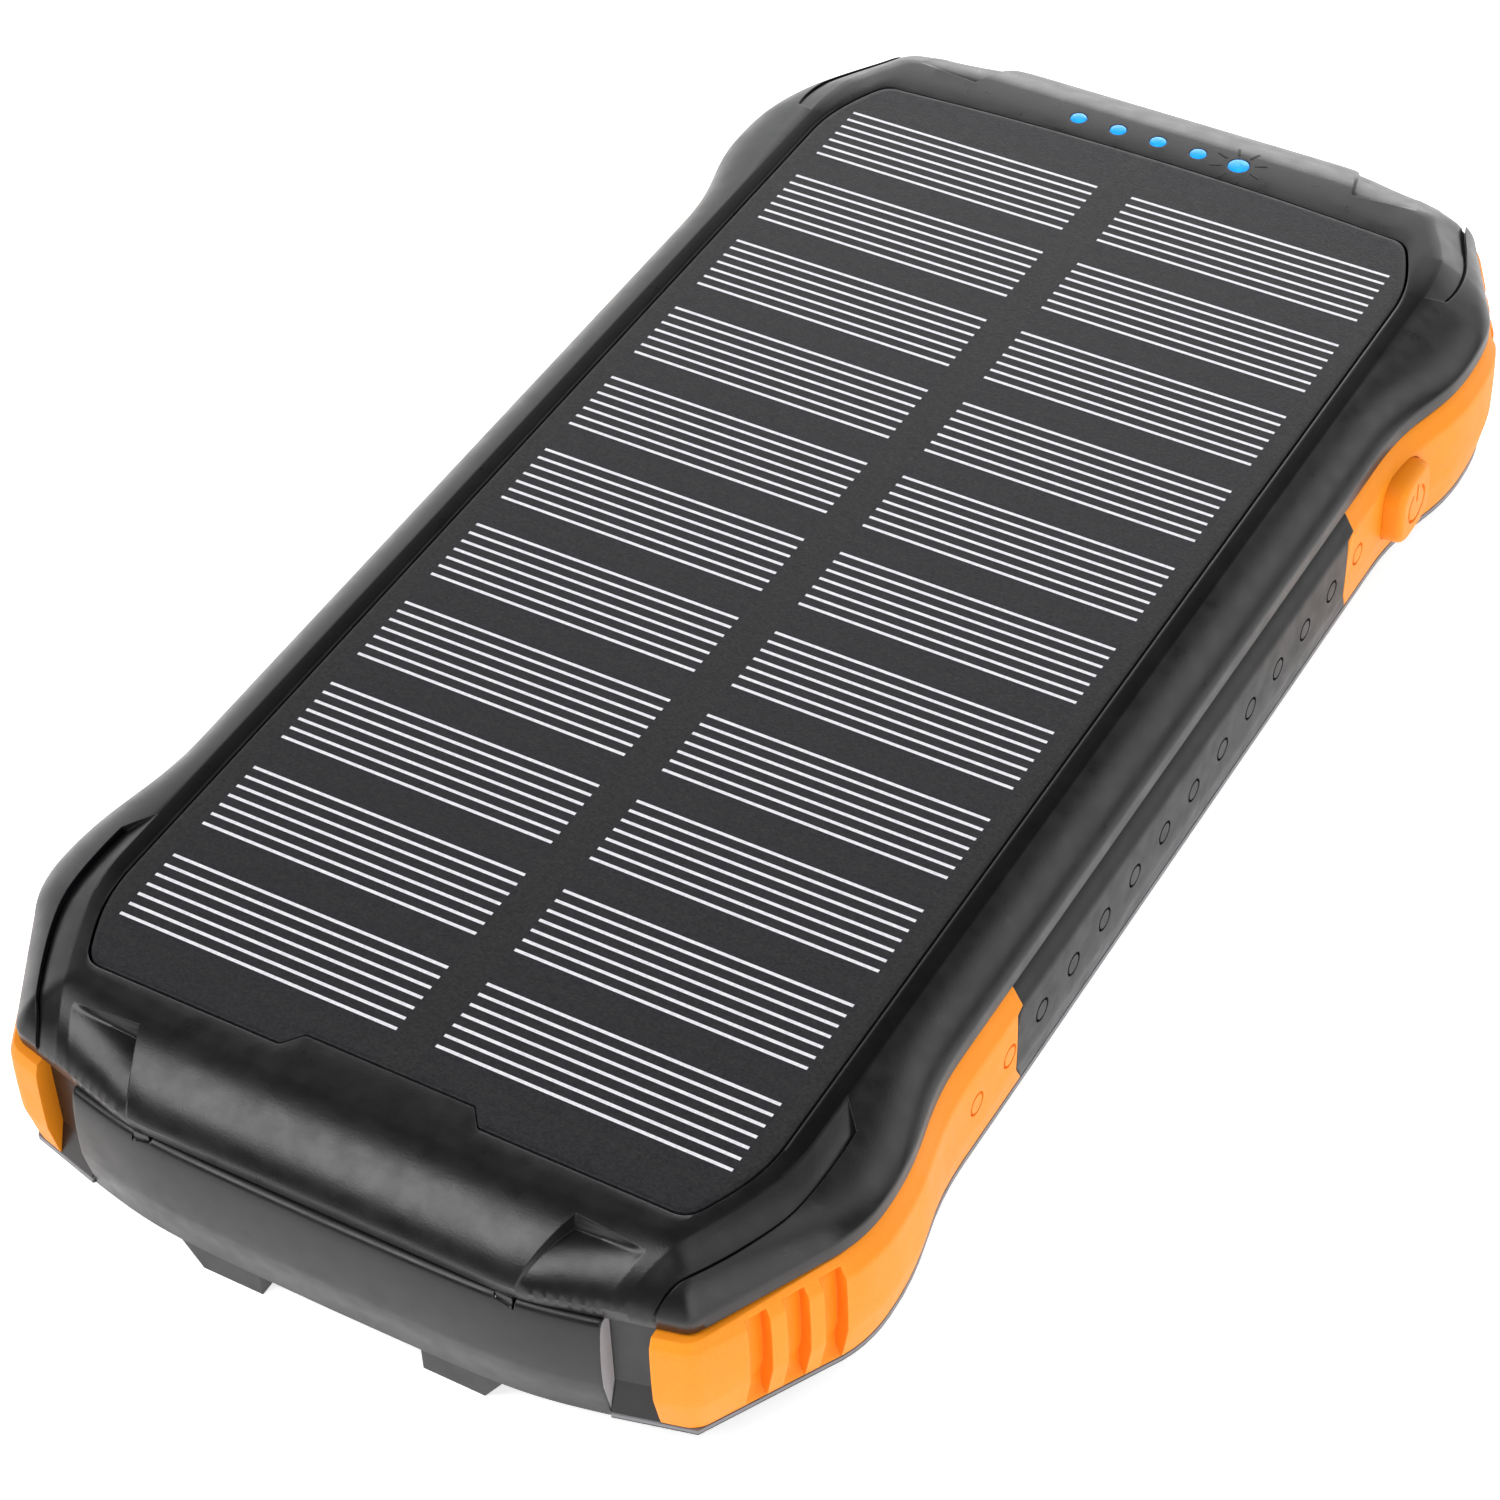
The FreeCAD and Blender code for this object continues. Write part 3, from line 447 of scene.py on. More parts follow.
def recess_cutter(surface, sx, sy, corners):
    """Pocket that is deepest at the tongue's upper corner and fades outwards."""
    top_inner, top_outer, foot = (np.array(c) for c in corners)
    columns, rows = 30, 32
    low, high = [], []
    for r in range(rows):
        t = (r / (rows - 1)) ** 1.4 * 1.10
        for c in range(columns):
            s = (c / (columns - 1)) ** 1.4 * 1.12
            x, y = top_inner + (top_outer - top_inner) * s + (foot - top_inner) * t
            fade = max(0.0, 1 - s) ** 0.9 * max(0.2, 1 - t / 1.05)
            wall = min(1.0, 0.08 + s / (RECESS_SLANT * 0.5), 0.04 + t / RECESS_SLANT)
            depth = RECESS_DEPTH * fade * wall - 0.05 * (s > 0.98)
            base = surface.z(sx * x, sy * y, LIP_TOP - 1.6)
            low.append((sx * x, sy * y, base - depth))
            high.append((sx * x, sy * y, 27.0))
    return grid_solid(low, high, rows, columns)


def drill(x, y, radius, z0, z1, sides=40):
    turn = np.linspace(0, 2 * math.pi, sides, endpoint=False)
    loop = np.column_stack([x + radius * np.cos(turn), y + radius * np.sin(turn)])
    return stacked_solid("cutter", [at_height(loop, z0), at_height(loop, z1)])


def detail_top_cover(cover, surface):
    pockets = []
    guards = []
    for sx in (1, -1):
        pockets.append(recess_cutter(surface, sx, -1, NEAR_RECESS))
        pockets.append(recess_cutter(surface, sx, 1, FAR_RECESS))
        guards.append(guard_cutter(surface, sx, -1, NEAR_GUARD, NEAR_FACET, 0.75, 0.35))
        guards.append(guard_cutter(surface, sx, 1, FAR_GUARD, FAR_FACET, 0.10, 0.75))
    for x, y, radius in DOTS:
        pockets.append(drill(x, y, radius + 0.05, 16.5, 24.0))
    cut(cover, [join(pockets, "pockets"), join(guards, "guards")])


# =============================================================== indicators
def dot_places():
    low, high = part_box("indicator_lenses")
    y = (low.y + high.y) / 2 / MM - PANEL_SHIFT
    radius = (high.y - low.y) / 2 / MM
    first = low.x / MM + radius
    last = high.x / MM - radius
    dots = [(first + (last - first) * k / 3, y, radius) for k in range(4)]
    low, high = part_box("sun_indicator_lens")
    dots.append(((low.x + high.x) / 2 / MM, y, (high.x - low.x) / 2 / MM))
    return dots


DOTS = dot_places()


def lens(surface, x, y, radius, name):
    """Light pipe whose slightly crowned end follows the slope of the shell."""
    rows = []
    turn = np.linspace(0, 2 * math.pi, 48, endpoint=False)
    for reach, rise in ((1.0, -2.6), (1.0, -0.12), (0.97, -0.02), (0.88, 0.04), (0.6, 0.09), (0.25, 0.12)):
        row = []
        for a in turn:
            px, py = x + radius * reach * math.cos(a), y + radius * reach * math.sin(a)
            row.append((px, py, surface.z(px, py) + rise))
        rows.append(np.array(row))
    return stacked_solid(name, rows)


def sun_rays(surface, x, y):
    rays = []
    for k in range(8):
        angle = math.radians(45 * k + 22.5)
        along = np.array([math.cos(angle), math.sin(angle)])
        side = np.array([-along[1], along[0]]) * 0.14
        rows = []
        for sign, rise in ((1, -0.2), (-1, -0.2), (-1, 0.025), (1, 0.025)):
            row = []
            for reach in np.linspace(1.75, 3.05, 6):
                px, py = np.array([x, y]) + along * reach + side * sign
                row.append((px, py, surface.z(px, py) + rise))
            rows.append(np.array(row))
        rays.append(strip_solid("ray", rows))
    return join(rays, "sun_ray_marks")


# ============================================================ rails, bumpers
BELT_ROWS = [(BELT_BOTTOM, -0.2), (BELT_BOTTOM + 0.08, 0.06), (4.6, 0.15), (4.8, 0.20), (5.2, 0.30), (6.3, 0.52),
             (7.4, 0.74), (8.1, 0.89), (8.5, 0.95), (9.6, 0.98), (11.0, 1.0), (12.4, 1.0),
             (13.8, 0.98), (14.8, 0.95), (15.2, 0.92), (15.45, 0.83), (15.65, 0.72), (15.9, 0.58),
             (16.2, 0.42), (16.6, 0.22), (17.2, -0.10), (17.38, -0.25), (BELT_TOP, -0.5)]
BELT_INNER = -2.6
BAND_GROW = 0.92
NEAR_SPLIT = ([3.1, 8.3, 15.29, 15.3, 17.5], [31.5, 34.9, 34.65, 33.5, 33.5])
FAR_SPLIT = ([3.1, 8.3, 15.29, 15.3, 17.5], [39.4, 35.7, 36.0, 37.4, 37.4])
BUMPER_END = 31.2


def split_at(z, split):
    return float(np.interp(z, split[0], split[1]))


def belt_section():
    """Outer profile from bottom to top, closed by the straight inner face."""
    return BELT_ROWS + [(BELT_TOP, BELT_INNER), (BELT_BOTTOM, BELT_INNER)]


def under_lip(y, z):
    """Heights of a belt row, pressed down where the lip above it droops."""
    share = max(0.0, (z - BAND_HIGH) / (BELT_TOP - BAND_HIGH))
    return z - share * droop(y)


def side_rail():
    rows = []
    for z, grow in belt_section():
        near = -split_at(z, NEAR_SPLIT) + 0.02
        far = split_at(z, FAR_SPLIT) - 0.02
        y = np.linspace(near, far, 60)
        rows.append(np.column_stack([np.full(60, NEAR_LIP[0, 0] + grow), y, np.full(60, z)]))
    return strip_solid("rail", rows)


# Three saw-tooth grip notches: steep wall on the flared side, floor rising
# towards the corner.
NOTCH_STARTS = [-1.16, 2.5, 6.26]
NOTCH_WIDTH = 2.2
NOTCH_WALL = 0.08
NOTCH_DEEP = 1.5
NOTCH_SHALLOW = 0.9
NOTCH_TOP = 16.6


def notch_depth(s, z):
    """Depth of the grip notches at distance s along the chamfer."""
    depth = 0.0
    for start in NOTCH_STARTS:
        t = s - start
        if 0.0 <= t <= NOTCH_WIDTH:
            wall = min(1.0, t / NOTCH_WALL)
            slope = max(0.0, t - NOTCH_WALL) / (NOTCH_WIDTH - NOTCH_WALL)
            depth = wall * NOTCH_DEEP + (NOTCH_SHALLOW - NOTCH_DEEP) * slope
    return depth * np.clip((NOTCH_TOP - z) / 0.9, 0, 1) * np.clip((z - 4.3) / 1.3, 0, 1)


def turn_stations():
    """Distances along the turn and chamfer, dense at the notch edges."""
    stations = list(np.linspace(-9.0, -1.6, 26))
    for start in NOTCH_STARTS:
        stations += [start - 0.12, start, start + NOTCH_WALL * 0.5, start + NOTCH_WALL]
        stations += list(np.linspace(start + 0.7, start + NOTCH_WIDTH - 0.3, 5))
        stations += [start + NOTCH_WIDTH, start + NOTCH_WIDTH + 0.02, start + NOTCH_WIDTH + 0.4]
    return np.array(stations)


def bumper_plan(z, grow, split, lip, notched):
    """Outline of a bumper in plan at one height."""
    p = lip + PUSH * grow
    start = split_at(z, split)
    chamfer_end = toward(p[8], p[7], 1.2)
    path = np.vstack([cubic(p[4:8], 80), straight(p[7], chamfer_end, 60), chamfer_end[None, :]])
    lengths = np.concatenate([[0], np.cumsum(np.linalg.norm(np.diff(path, axis=0), axis=1))])
    from_knee = lengths - lengths[80]
    stations = turn_stations()
    stations = np.concatenate([np.linspace(from_knee[0], stations[0], 4)[:-1], stations])
    x = np.interp(stations, from_knee, path[:, 0])
    y = np.interp(stations, from_knee, path[:, 1])
    tangent = np.gradient(path, axis=0)
    tx = np.interp(stations, from_knee, tangent[:, 0])
    ty = np.interp(stations, from_knee, tangent[:, 1])
    size = np.hypot(tx, ty)
    depth = np.array([notch_depth(s, z) if notched else 0.0 for s in stations])
    turn = np.column_stack([x - ty / size * depth, y + tx / size * depth])
    slope = (p[9] - p[8]) / (p[9, 0] - p[8, 0])
    last = p[8] + slope * (BUMPER_END - p[8, 0])
    facet = toward(p[8], p[9], 1.2)
    return np.vstack([
        straight(np.array([p[0, 0], start]), p[1], 24), cubic(p[1:5], 56), turn,
        corner(p[7], p[8], p[9], 1.2, 10), straight(facet, last, 6), last[None, :]])


def bumper_row(z, grow, split, lip, notched):
    """Belt row at one height; where the lip droops the slope under it is fuller."""
    plan = bumper_plan(z, grow, split, lip, notched)
    if z > BAND_HIGH and notched:
        full = bumper_plan(z, BAND_GROW, split, lip, notched)
        plan = plan + (full - plan) * (0.65 * droop(plan[:, 1]) / DROOP)[:, None]
    return np.column_stack([plan, under_lip(plan[:, 1], z)])


def bumper(split, lip, sy):
    rows = []
    for z, grow in belt_section():
        row = bumper_row(z, grow, split, lip, grow > BELT_INNER)
        row[:, 1] *= sy
        rows.append(row)
    return strip_solid("bumper", rows)


RING_RADIUS = 1.2
RING_WIDTH = 0.26
RING_DEPTH = 0.30
RING_Z = 11.5
RING_PITCH = 6.24
FIRST_RING = -42.48


def ring_cutter(y, surface_x):
    """Shallow tube that engraves one ring mark in the side."""
    turn = np.linspace(0, 2 * math.pi, 48, endpoint=False)
    rows = []
    for radius, x in ((RING_RADIUS, -RING_DEPTH), (RING_RADIUS + 0.03, 1.0),
                      (RING_RADIUS - RING_WIDTH - 0.03, 1.0), (RING_RADIUS - RING_WIDTH, -RING_DEPTH)):
        rows.append(np.column_stack([np.full(48, surface_x + x), y + radius * np.cos(turn),
                                     RING_Z + radius * np.sin(turn)]))
    return loop_shell("cutter", rows)


def side_x(y):
    """Half width of the ring band at a given distance along the side."""
    line = quarter(y > 0, 0.0, 1.0)
    return float(np.interp(abs(y), line[:150, 1], line[:150, 0]))


def belts():
    rail = side_rail()
    near = bumper(NEAR_SPLIT, NEAR_LIP, -1)
    far = bumper(FAR_SPLIT, FAR_LIP, 1)
    near_rings, rail_rings, far_rings = [], [], []
    for k in range(14):
        y = FIRST_RING + k * RING_PITCH
        target = near_rings if k < 2 else (rail_rings if k < 13 else far_rings)
        target.append(ring_cutter(y, side_x(y)))
    cut(rail, [join(rail_rings, "rings")])
    cut(near, [join(near_rings, "rings")])
    cut(far, far_rings)
    pieces = [
        (mirrored(rail, "rail_skin_left", (-1, 1, 1)), "side_rail_left"),
        (mirrored(near, "bumper_skin_near_left", (-1, 1, 1)), "bumper_near_left"),
        (mirrored(far, "bumper_skin_far_left", (-1, 1, 1)), "bumper_far_left"),
        (rail, "side_rail_right"), (near, "bumper_near_right"), (far, "bumper_far_right")]
    rail.name = "rail_skin_right"
    near.name = "bumper_skin_near_right"
    far.name = "bumper_skin_far_right"
    cut(far, [button_block("cutter", 30.0, 50.0, 0.1)])
    for piece, node in pieces:
        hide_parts(node)
    return pieces


# ============================================================= power button
def button_frame():
    low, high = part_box("power_button")
    return ((low.y + high.y) / 2 / MM - PANEL_SHIFT, (low.z + high.z) / 2 / MM,
            (high.y - low.y) / 2 / MM, (high.z - low.z) / 2 / MM, high.x / MM)


def rounded_loop(cy, cz, half_y, half_z, radius, x, count=12):
    points = []
    for k, (sy, sz) in enumerate(((1, 1), (-1, 1), (-1, -1), (1, -1))):
        for step in range(count):
            a = math.pi / 2 * (k + step / (count - 1))
            points.append((x, cy + sy * (half_y - radius) + radius * math.cos(a),
                           cz + sz * (half_z - radius) + radius * math.sin(a)))
    return np.array(points)


def button_block(name, x0, x1, slack):
    cy, cz, hy, hz, face = button_frame()
    rows = [rounded_loop(cy, cz, hy + slack, hz + slack, 2.2 + slack, x) for x in (x0, x1)]
    return stacked_solid(name, rows)


def sector_solid(cy, cz, r0, r1, a0, a1, x0, x1):
    """Part of a flat ring, used for the on/off sign."""
    rows = []
    for radius, x in ((r0, x0), (r1, x0), (r1, x1), (r0, x1)):
        turn = np.radians(np.linspace(a0, a1, 48))
        rows.append(np.column_stack([np.full(48, x), cy + radius * np.cos(turn),
                                     cz + radius * np.sin(turn)]))
    return strip_solid("cutter", rows)


def power_button():
    cy, cz, hy, hz, face = button_frame()
    rows = []
    for x, shrink in ((38.6, 0.0), (41.6, 0.0), (42.5, 0.06), (42.8, 0.16), (43.0, 0.32),
                      (43.13, 0.52), (43.19, 0.76), (43.2, 1.0)):
        rows.append(rounded_loop(cy, cz, hy - shrink, hz - shrink, 2.2 - shrink * 0.5, x))
    cap = stacked_solid("button_cap", rows)
    ring = sector_solid(cy, cz, 1.72, 2.1, 118, 422, face - 0.28, face + 1)
    bar_rows = []
    for dy, x in ((-0.19, face - 0.28), (0.19, face - 0.28), (0.19, face + 1), (-0.19, face + 1)):
        bar_rows.append(np.array([(x, cy + dy, cz + 0.35), (x, cy + dy, cz + 2.55)]))
    cut(cap, [ring, strip_solid("cutter", bar_rows)])
    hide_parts("power_button")
    return cap


# =============================================================== port cover
FLAP_HALF = 26.85
FLAP_ROWS = [(3.2, -0.5), (3.25, -0.2), (3.5, 0.02), (4.4, 0.14), (6.3, 0.52), (8.3, 0.92),
             (9.0, 0.96), (10.5, 0.98), (12.0, 0.95), (13.4, 0.88), (14.4, 0.78), (14.9, 0.72),
             (15.3, 0.65), (15.8, 0.54), (16.15, 0.36), (16.3, 0.15), (16.38, -0.15)]
FLAP_BACK = -0.93


def end_line(x, grow):
    """Distance of the near end face from the middle at each x."""
    p = NEAR_LIP + PUSH * grow
    x = np.abs(x)
    flat = np.full_like(x, p[9, 1])
    slope = (p[8, 1] - p[9, 1]) / (p[8, 0] - p[9, 0])
    facet = p[9, 1] + slope * (x - p[9, 0])
    blend = 1.3
    return 0.5 * (flat + facet - np.sqrt((flat - facet) ** 2 + blend ** 2))


BEAD_RADIUS = 0.5
BEAD_HALF = 17.38


def hinge_bead():
    """Round bead along the top of the port cover that turns on the pin."""
    low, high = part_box("hinge_pin")
    y = (low.y + high.y) / 2 / MM - PANEL_SHIFT
    z = (low.z + high.z) / 2 / MM
    turn = np.linspace(0, 2 * math.pi, 36, endpoint=False)
    rows = []
    for x, radius in ((-BEAD_HALF, BEAD_RADIUS - 0.1), (-BEAD_HALF + 0.1, BEAD_RADIUS),
                      (BEAD_HALF - 0.1, BEAD_RADIUS), (BEAD_HALF, BEAD_RADIUS - 0.1)):
        rows.append(np.column_stack([np.full(36, x), y + radius * np.cos(turn), z + radius * np.sin(turn)]))
    return stacked_solid("bead", rows)


def block(x0, x1, y0, y1, z0, z1):
    """Plain rectangular cutter."""
    corners = ((x0, y0), (x1, y0), (x1, y1), (x0, y1))
    rows = [np.array([(x, y, z) for x, y in corners]) for z in (z0, z1)]
    return stacked_solid("cutter", rows)


def port_cover():
    half = FLAP_HALF
    x = np.concatenate([[half, half - 0.04, half - 0.12, half - 0.3], np.linspace(half - 1.0, 0, 60)])
    x = np.concatenate([x, -x[::-1][1:]])
    sink = np.interp(np.abs(x), [half - 0.3, half - 0.12, half - 0.04, half], [0.0, 0.015, 0.05, 0.12])
    rows = []
    for z, grow in FLAP_ROWS:
        y = end_line(x, grow) - sink
        rows.append(np.column_stack([x, -y, np.full(len(x), z)]))
    for z in (16.36, 3.2):
        y = end_line(x, FLAP_BACK)
        rows.append(np.column_stack([x, -y, np.full(len(x), z)]))
    flap = strip_solid("flap_skin", rows)
    cut(flap, [block(-19.4, -17.4, -83.3, -80.0, 14.5, 20.0), block(17.4, 19.4, -83.3, -80.0, 14.5, 20.0)])
    flap = join([flap, hinge_bead()], "flap_skin")
    smooth(flap)
    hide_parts("port_cover")
    return flap


# ============================================================== solar panel
CELL_PITCH = 12.6
FINGER_PITCH = 1.342


def panel_loop(shrink):
    keep = OPENING_END - 0.2
    near_edge = opening_quarter(quarter(False, 1.0, -0.3), True)
    far_edge = opening_quarter(quarter(True, 1.0, -0.3), False)
    loop = full_turn(near_edge, far_edge)
    scale = np.array([(OPENING_HALF - 0.2 - shrink) / OPENING_HALF, (keep - shrink) / OPENING_END])
    return loop * scale


def solar_panel():
    rows = []
    for z, shrink in ((PANEL_SEAT + 0.2, 0.0), (PANEL_Z - 0.16, 0.0), (PANEL_Z - 0.05, 0.05),
                      (PANEL_Z, 0.16), (PANEL_Z, 0.5)):
        rows.append(at_height(panel_loop(shrink), z))
    face = stacked_solid("panel_face", rows)
    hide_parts("panel_laminate", "panel_board", "solar_cells", "panel_adhesive")
    return face


def finger_lines():
    """Silver finger lines of every cell, as thin printed strips."""
    low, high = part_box("cell_fingers")
    outer = high.x / MM
    inner = 2.0
    verts, faces = [], []
    half = 0.17
    for row in range(11):
        for count in range(7):
            y = (row - 5) * CELL_PITCH + (count - 3) * FINGER_PITCH
            for side in (-1, 1):
                base = len(verts)
                x0, x1 = sorted((side * inner, side * outer))
                for z in (PANEL_Z - 0.03, PANEL_Z + 0.012):
                    verts += [(x0, y - half, z), (x1, y - half, z), (x1, y + half, z), (x0, y + half, z)]
                faces += [tuple(base + k for k in face) for face in (
                    (0, 3, 2, 1), (4, 5, 6, 7), (0, 1, 5, 4), (1, 2, 6, 5), (2, 3, 7, 6), (3, 0, 4, 7))]
    lines = new_mesh("finger_print", verts, faces)
    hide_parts("cell_fingers")
    return lines


# ================================================================ materials
def link(tree, a, b):
    tree.links.new(a, b)


def node(tree, kind, **values):
    made = tree.nodes.new(kind)
    for key, value in values.items():
        if hasattr(made, key):
            setattr(made, key, value)
        else:
            made.inputs[key.replace("_", " ")].default_value = value
    return made


def start_material(name):
    material = bpy.data.materials.new(name)
    material.use_nodes = True
    tree = material.node_tree
    tree.nodes.clear()
    out = tree.nodes.new("ShaderNodeOutputMaterial")
    shader = tree.nodes.new("ShaderNodeBsdfPrincipled")
    link(tree, shader.outputs["BSDF"], out.inputs["Surface"])
    place = tree.nodes.new("ShaderNodeTexCoord").outputs["Object"]
    return material, tree, shader, place


def noise(tree, place, size_mm, detail=2.0, rough=0.5):
    made = tree.nodes.new("ShaderNodeTexNoise")
    made.inputs["Scale"].default_value = 1.0 / (size_mm * MM)
    made.inputs["Detail"].default_value = detail
    made.inputs["Roughness"].default_value = rough
    link(tree, place, made.inputs["Vector"])
    return made.outputs["Fac"]


def spread(tree, value, low, high, source=(0.3, 0.7)):
    made = tree.nodes.new("ShaderNodeMapRange")
    made.inputs["From Min"].default_value = source[0]
    made.inputs["From Max"].default_value = source[1]
    made.inputs["To Min"].default_value = low
    made.inputs["To Max"].default_value = high
    link(tree, value, made.inputs["Value"])
    return made.outputs["Result"]


def mix(tree, factor, a, b, kind="MIX"):
    made = tree.nodes.new("ShaderNodeMix")
    made.data_type = "RGBA"
    made.blend_type = kind
    for index, value in ((6, a), (7, b)):
        if isinstance(value, tuple):
            made.inputs[index].default_value = (*value, 1.0)
        else:
            link(tree, value, made.inputs[index])
    if isinstance(factor, float):
        made.inputs[0].default_value = factor
    else:
        link(tree, factor, made.inputs[0])
    return made.outputs[2]


def edge_mask(tree, radius_mm, low=0.02, high=0.25):
    """Bright along convex and concave edges, dark on open faces."""
    soft = tree.nodes.new("ShaderNodeBevel")
    soft.samples = 4
    soft.inputs["Radius"].default_value = radius_mm * MM
    flat = tree.nodes.new("ShaderNodeNewGeometry")
    dot = tree.nodes.new("ShaderNodeVectorMath")
    dot.operation = "DOT_PRODUCT"
    link(tree, soft.outputs["Normal"], dot.inputs[0])
    link(tree, flat.outputs["Normal"], dot.inputs[1])
    made = tree.nodes.new("ShaderNodeMapRange")
    made.inputs["From Min"].default_value = 1.0 - low
    made.inputs["From Max"].default_value = 1.0 - high
    link(tree, dot.outputs["Value"], made.inputs["Value"])
    return made.outputs["Result"]


def moulded(name, colour, rough, grain_mm=0.22, grain_depth_mm=0.009, soften_mm=0.2,
            edge_colour=None, edge_amount=0.25, shine=0.5, patchiness=0.10, rim_highlight_band=None,
            dull_bezel=False):
    """Moulded plastic or rubber with fine grain, faint patchiness and lighter edges, partly rubbed wear and
    partly painted highlight.
    """
    material, tree, shader, place = start_material(name)
    darker = tuple(c * (1 - patchiness) for c in colour)
    lighter = tuple(min(1.0, c * (1 + patchiness)) for c in colour)
    patches = spread(tree, noise(tree, place, 9.0, 3.0), 0.0, 1.0)
    tone = mix(tree, patches, darker, lighter)
    speck = spread(tree, noise(tree, place, grain_mm * 1.3, 1.0), 0.0, 1.0)
    tone = mix(tree, spread(tree, speck, 0.0, 0.22, (0.0, 1.0)), tone,
               tuple(min(1.0, c * 1.35 + 0.004) for c in colour))
    # Edges, concave as well as convex, are painted lighter: partly rubbed wear, partly a painted highlight.
    rubbed_edge_highlight = edge_colour or tuple(min(1.0, c * 1.8 + 0.02) for c in colour)
    edge_wear_and_highlight = tree.nodes.new("ShaderNodeMath")
    edge_wear_and_highlight.operation = "MULTIPLY"
    link(tree, edge_mask(tree, 0.5), edge_wear_and_highlight.inputs[0])
    link(tree, spread(tree, noise(tree, place, 3.0, 4.0), 0.25 * edge_amount, edge_amount), edge_wear_and_highlight.inputs[1])
    tone = mix(tree, edge_wear_and_highlight.outputs[0], tone, rubbed_edge_highlight)
    # Painted highlight: a pale band at the given heights stands in for the floor's light reflected along the top
    # of the base's rim.
    if rim_highlight_band:
        split = tree.nodes.new("ShaderNodeSeparateXYZ")
        link(tree, place, split.inputs[0])
        low, high, pale = rim_highlight_band
        above = node(tree, "ShaderNodeMath", operation="GREATER_THAN")
        link(tree, split.outputs["Z"], above.inputs[0])
        above.inputs[1].default_value = low * MM
        below = node(tree, "ShaderNodeMath", operation="LESS_THAN")
        link(tree, split.outputs["Z"], below.inputs[0])
        below.inputs[1].default_value = high * MM
        both = node(tree, "ShaderNodeMath", operation="MULTIPLY")
        link(tree, above.outputs[0], both.inputs[0])
        link(tree, below.outputs[0], both.inputs[1])
        tone = mix(tree, both.outputs[0], tone, pale)
    link(tree, tone, shader.inputs["Base Color"])
    rough_map = spread(tree, noise(tree, place, 2.2, 4.0), rough - 0.05, rough + 0.06)
    link(tree, rough_map, shader.inputs["Roughness"])
    soft = tree.nodes.new("ShaderNodeBevel")
    soft.samples = 4
    soft.inputs["Radius"].default_value = min(soften_mm, 0.12) * MM
    bump = tree.nodes.new("ShaderNodeBump")
    bump.inputs["Strength"].default_value = 1.0
    bump.inputs["Distance"].default_value = grain_depth_mm * MM
    link(tree, noise(tree, place, grain_mm, 2.0, 0.6), bump.inputs["Height"])
    link(tree, soft.outputs["Normal"], bump.inputs["Normal"])
    link(tree, bump.outputs["Normal"], shader.inputs["Normal"])
    shader.inputs["Specular IOR Level"].default_value = shine
    if dull_bezel:
        gloss = node(tree, "ShaderNodeMath", operation="MULTIPLY")
        link(tree, spread(tree, bezel_mask(tree, place), 1.0, 0.12, (0.0, 1.0)), gloss.inputs[0])
        gloss.inputs[1].default_value = shine
        link(tree, gloss.outputs[0], shader.inputs["Specular IOR Level"])
    return material


def bezel_mask(tree, place):
    """One on the flat frame along both sides of the solar panel, fading out at the ends."""
    split = tree.nodes.new("ShaderNodeSeparateXYZ")
    link(tree, place, split.inputs[0])
    across = node(tree, "ShaderNodeMath", operation="ABSOLUTE")
    link(tree, split.outputs["X"], across.inputs[0])
    along = node(tree, "ShaderNodeMath", operation="ABSOLUTE")
    link(tree, split.outputs["Y"], along.inputs[0])
    flat = tree.nodes.new("ShaderNodeNewGeometry")
    facing = tree.nodes.new("ShaderNodeSeparateXYZ")
    link(tree, flat.outputs["Normal"], facing.inputs[0])
    level = spread(tree, facing.outputs["Z"], 0.0, 1.0, (0.975, 0.99))
    outer = spread(tree, across.outputs[0], 0.0, 1.0, (0.0322, 0.0332))
    middle = spread(tree, along.outputs[0], 1.0, 0.0, (0.064, 0.073))
    made = level
    for factor in (outer, middle):
        product = node(tree, "ShaderNodeMath", operation="MULTIPLY")
        link(tree, made, product.inputs[0])
        link(tree, factor, product.inputs[1])
        made = product.outputs[0]
    return made


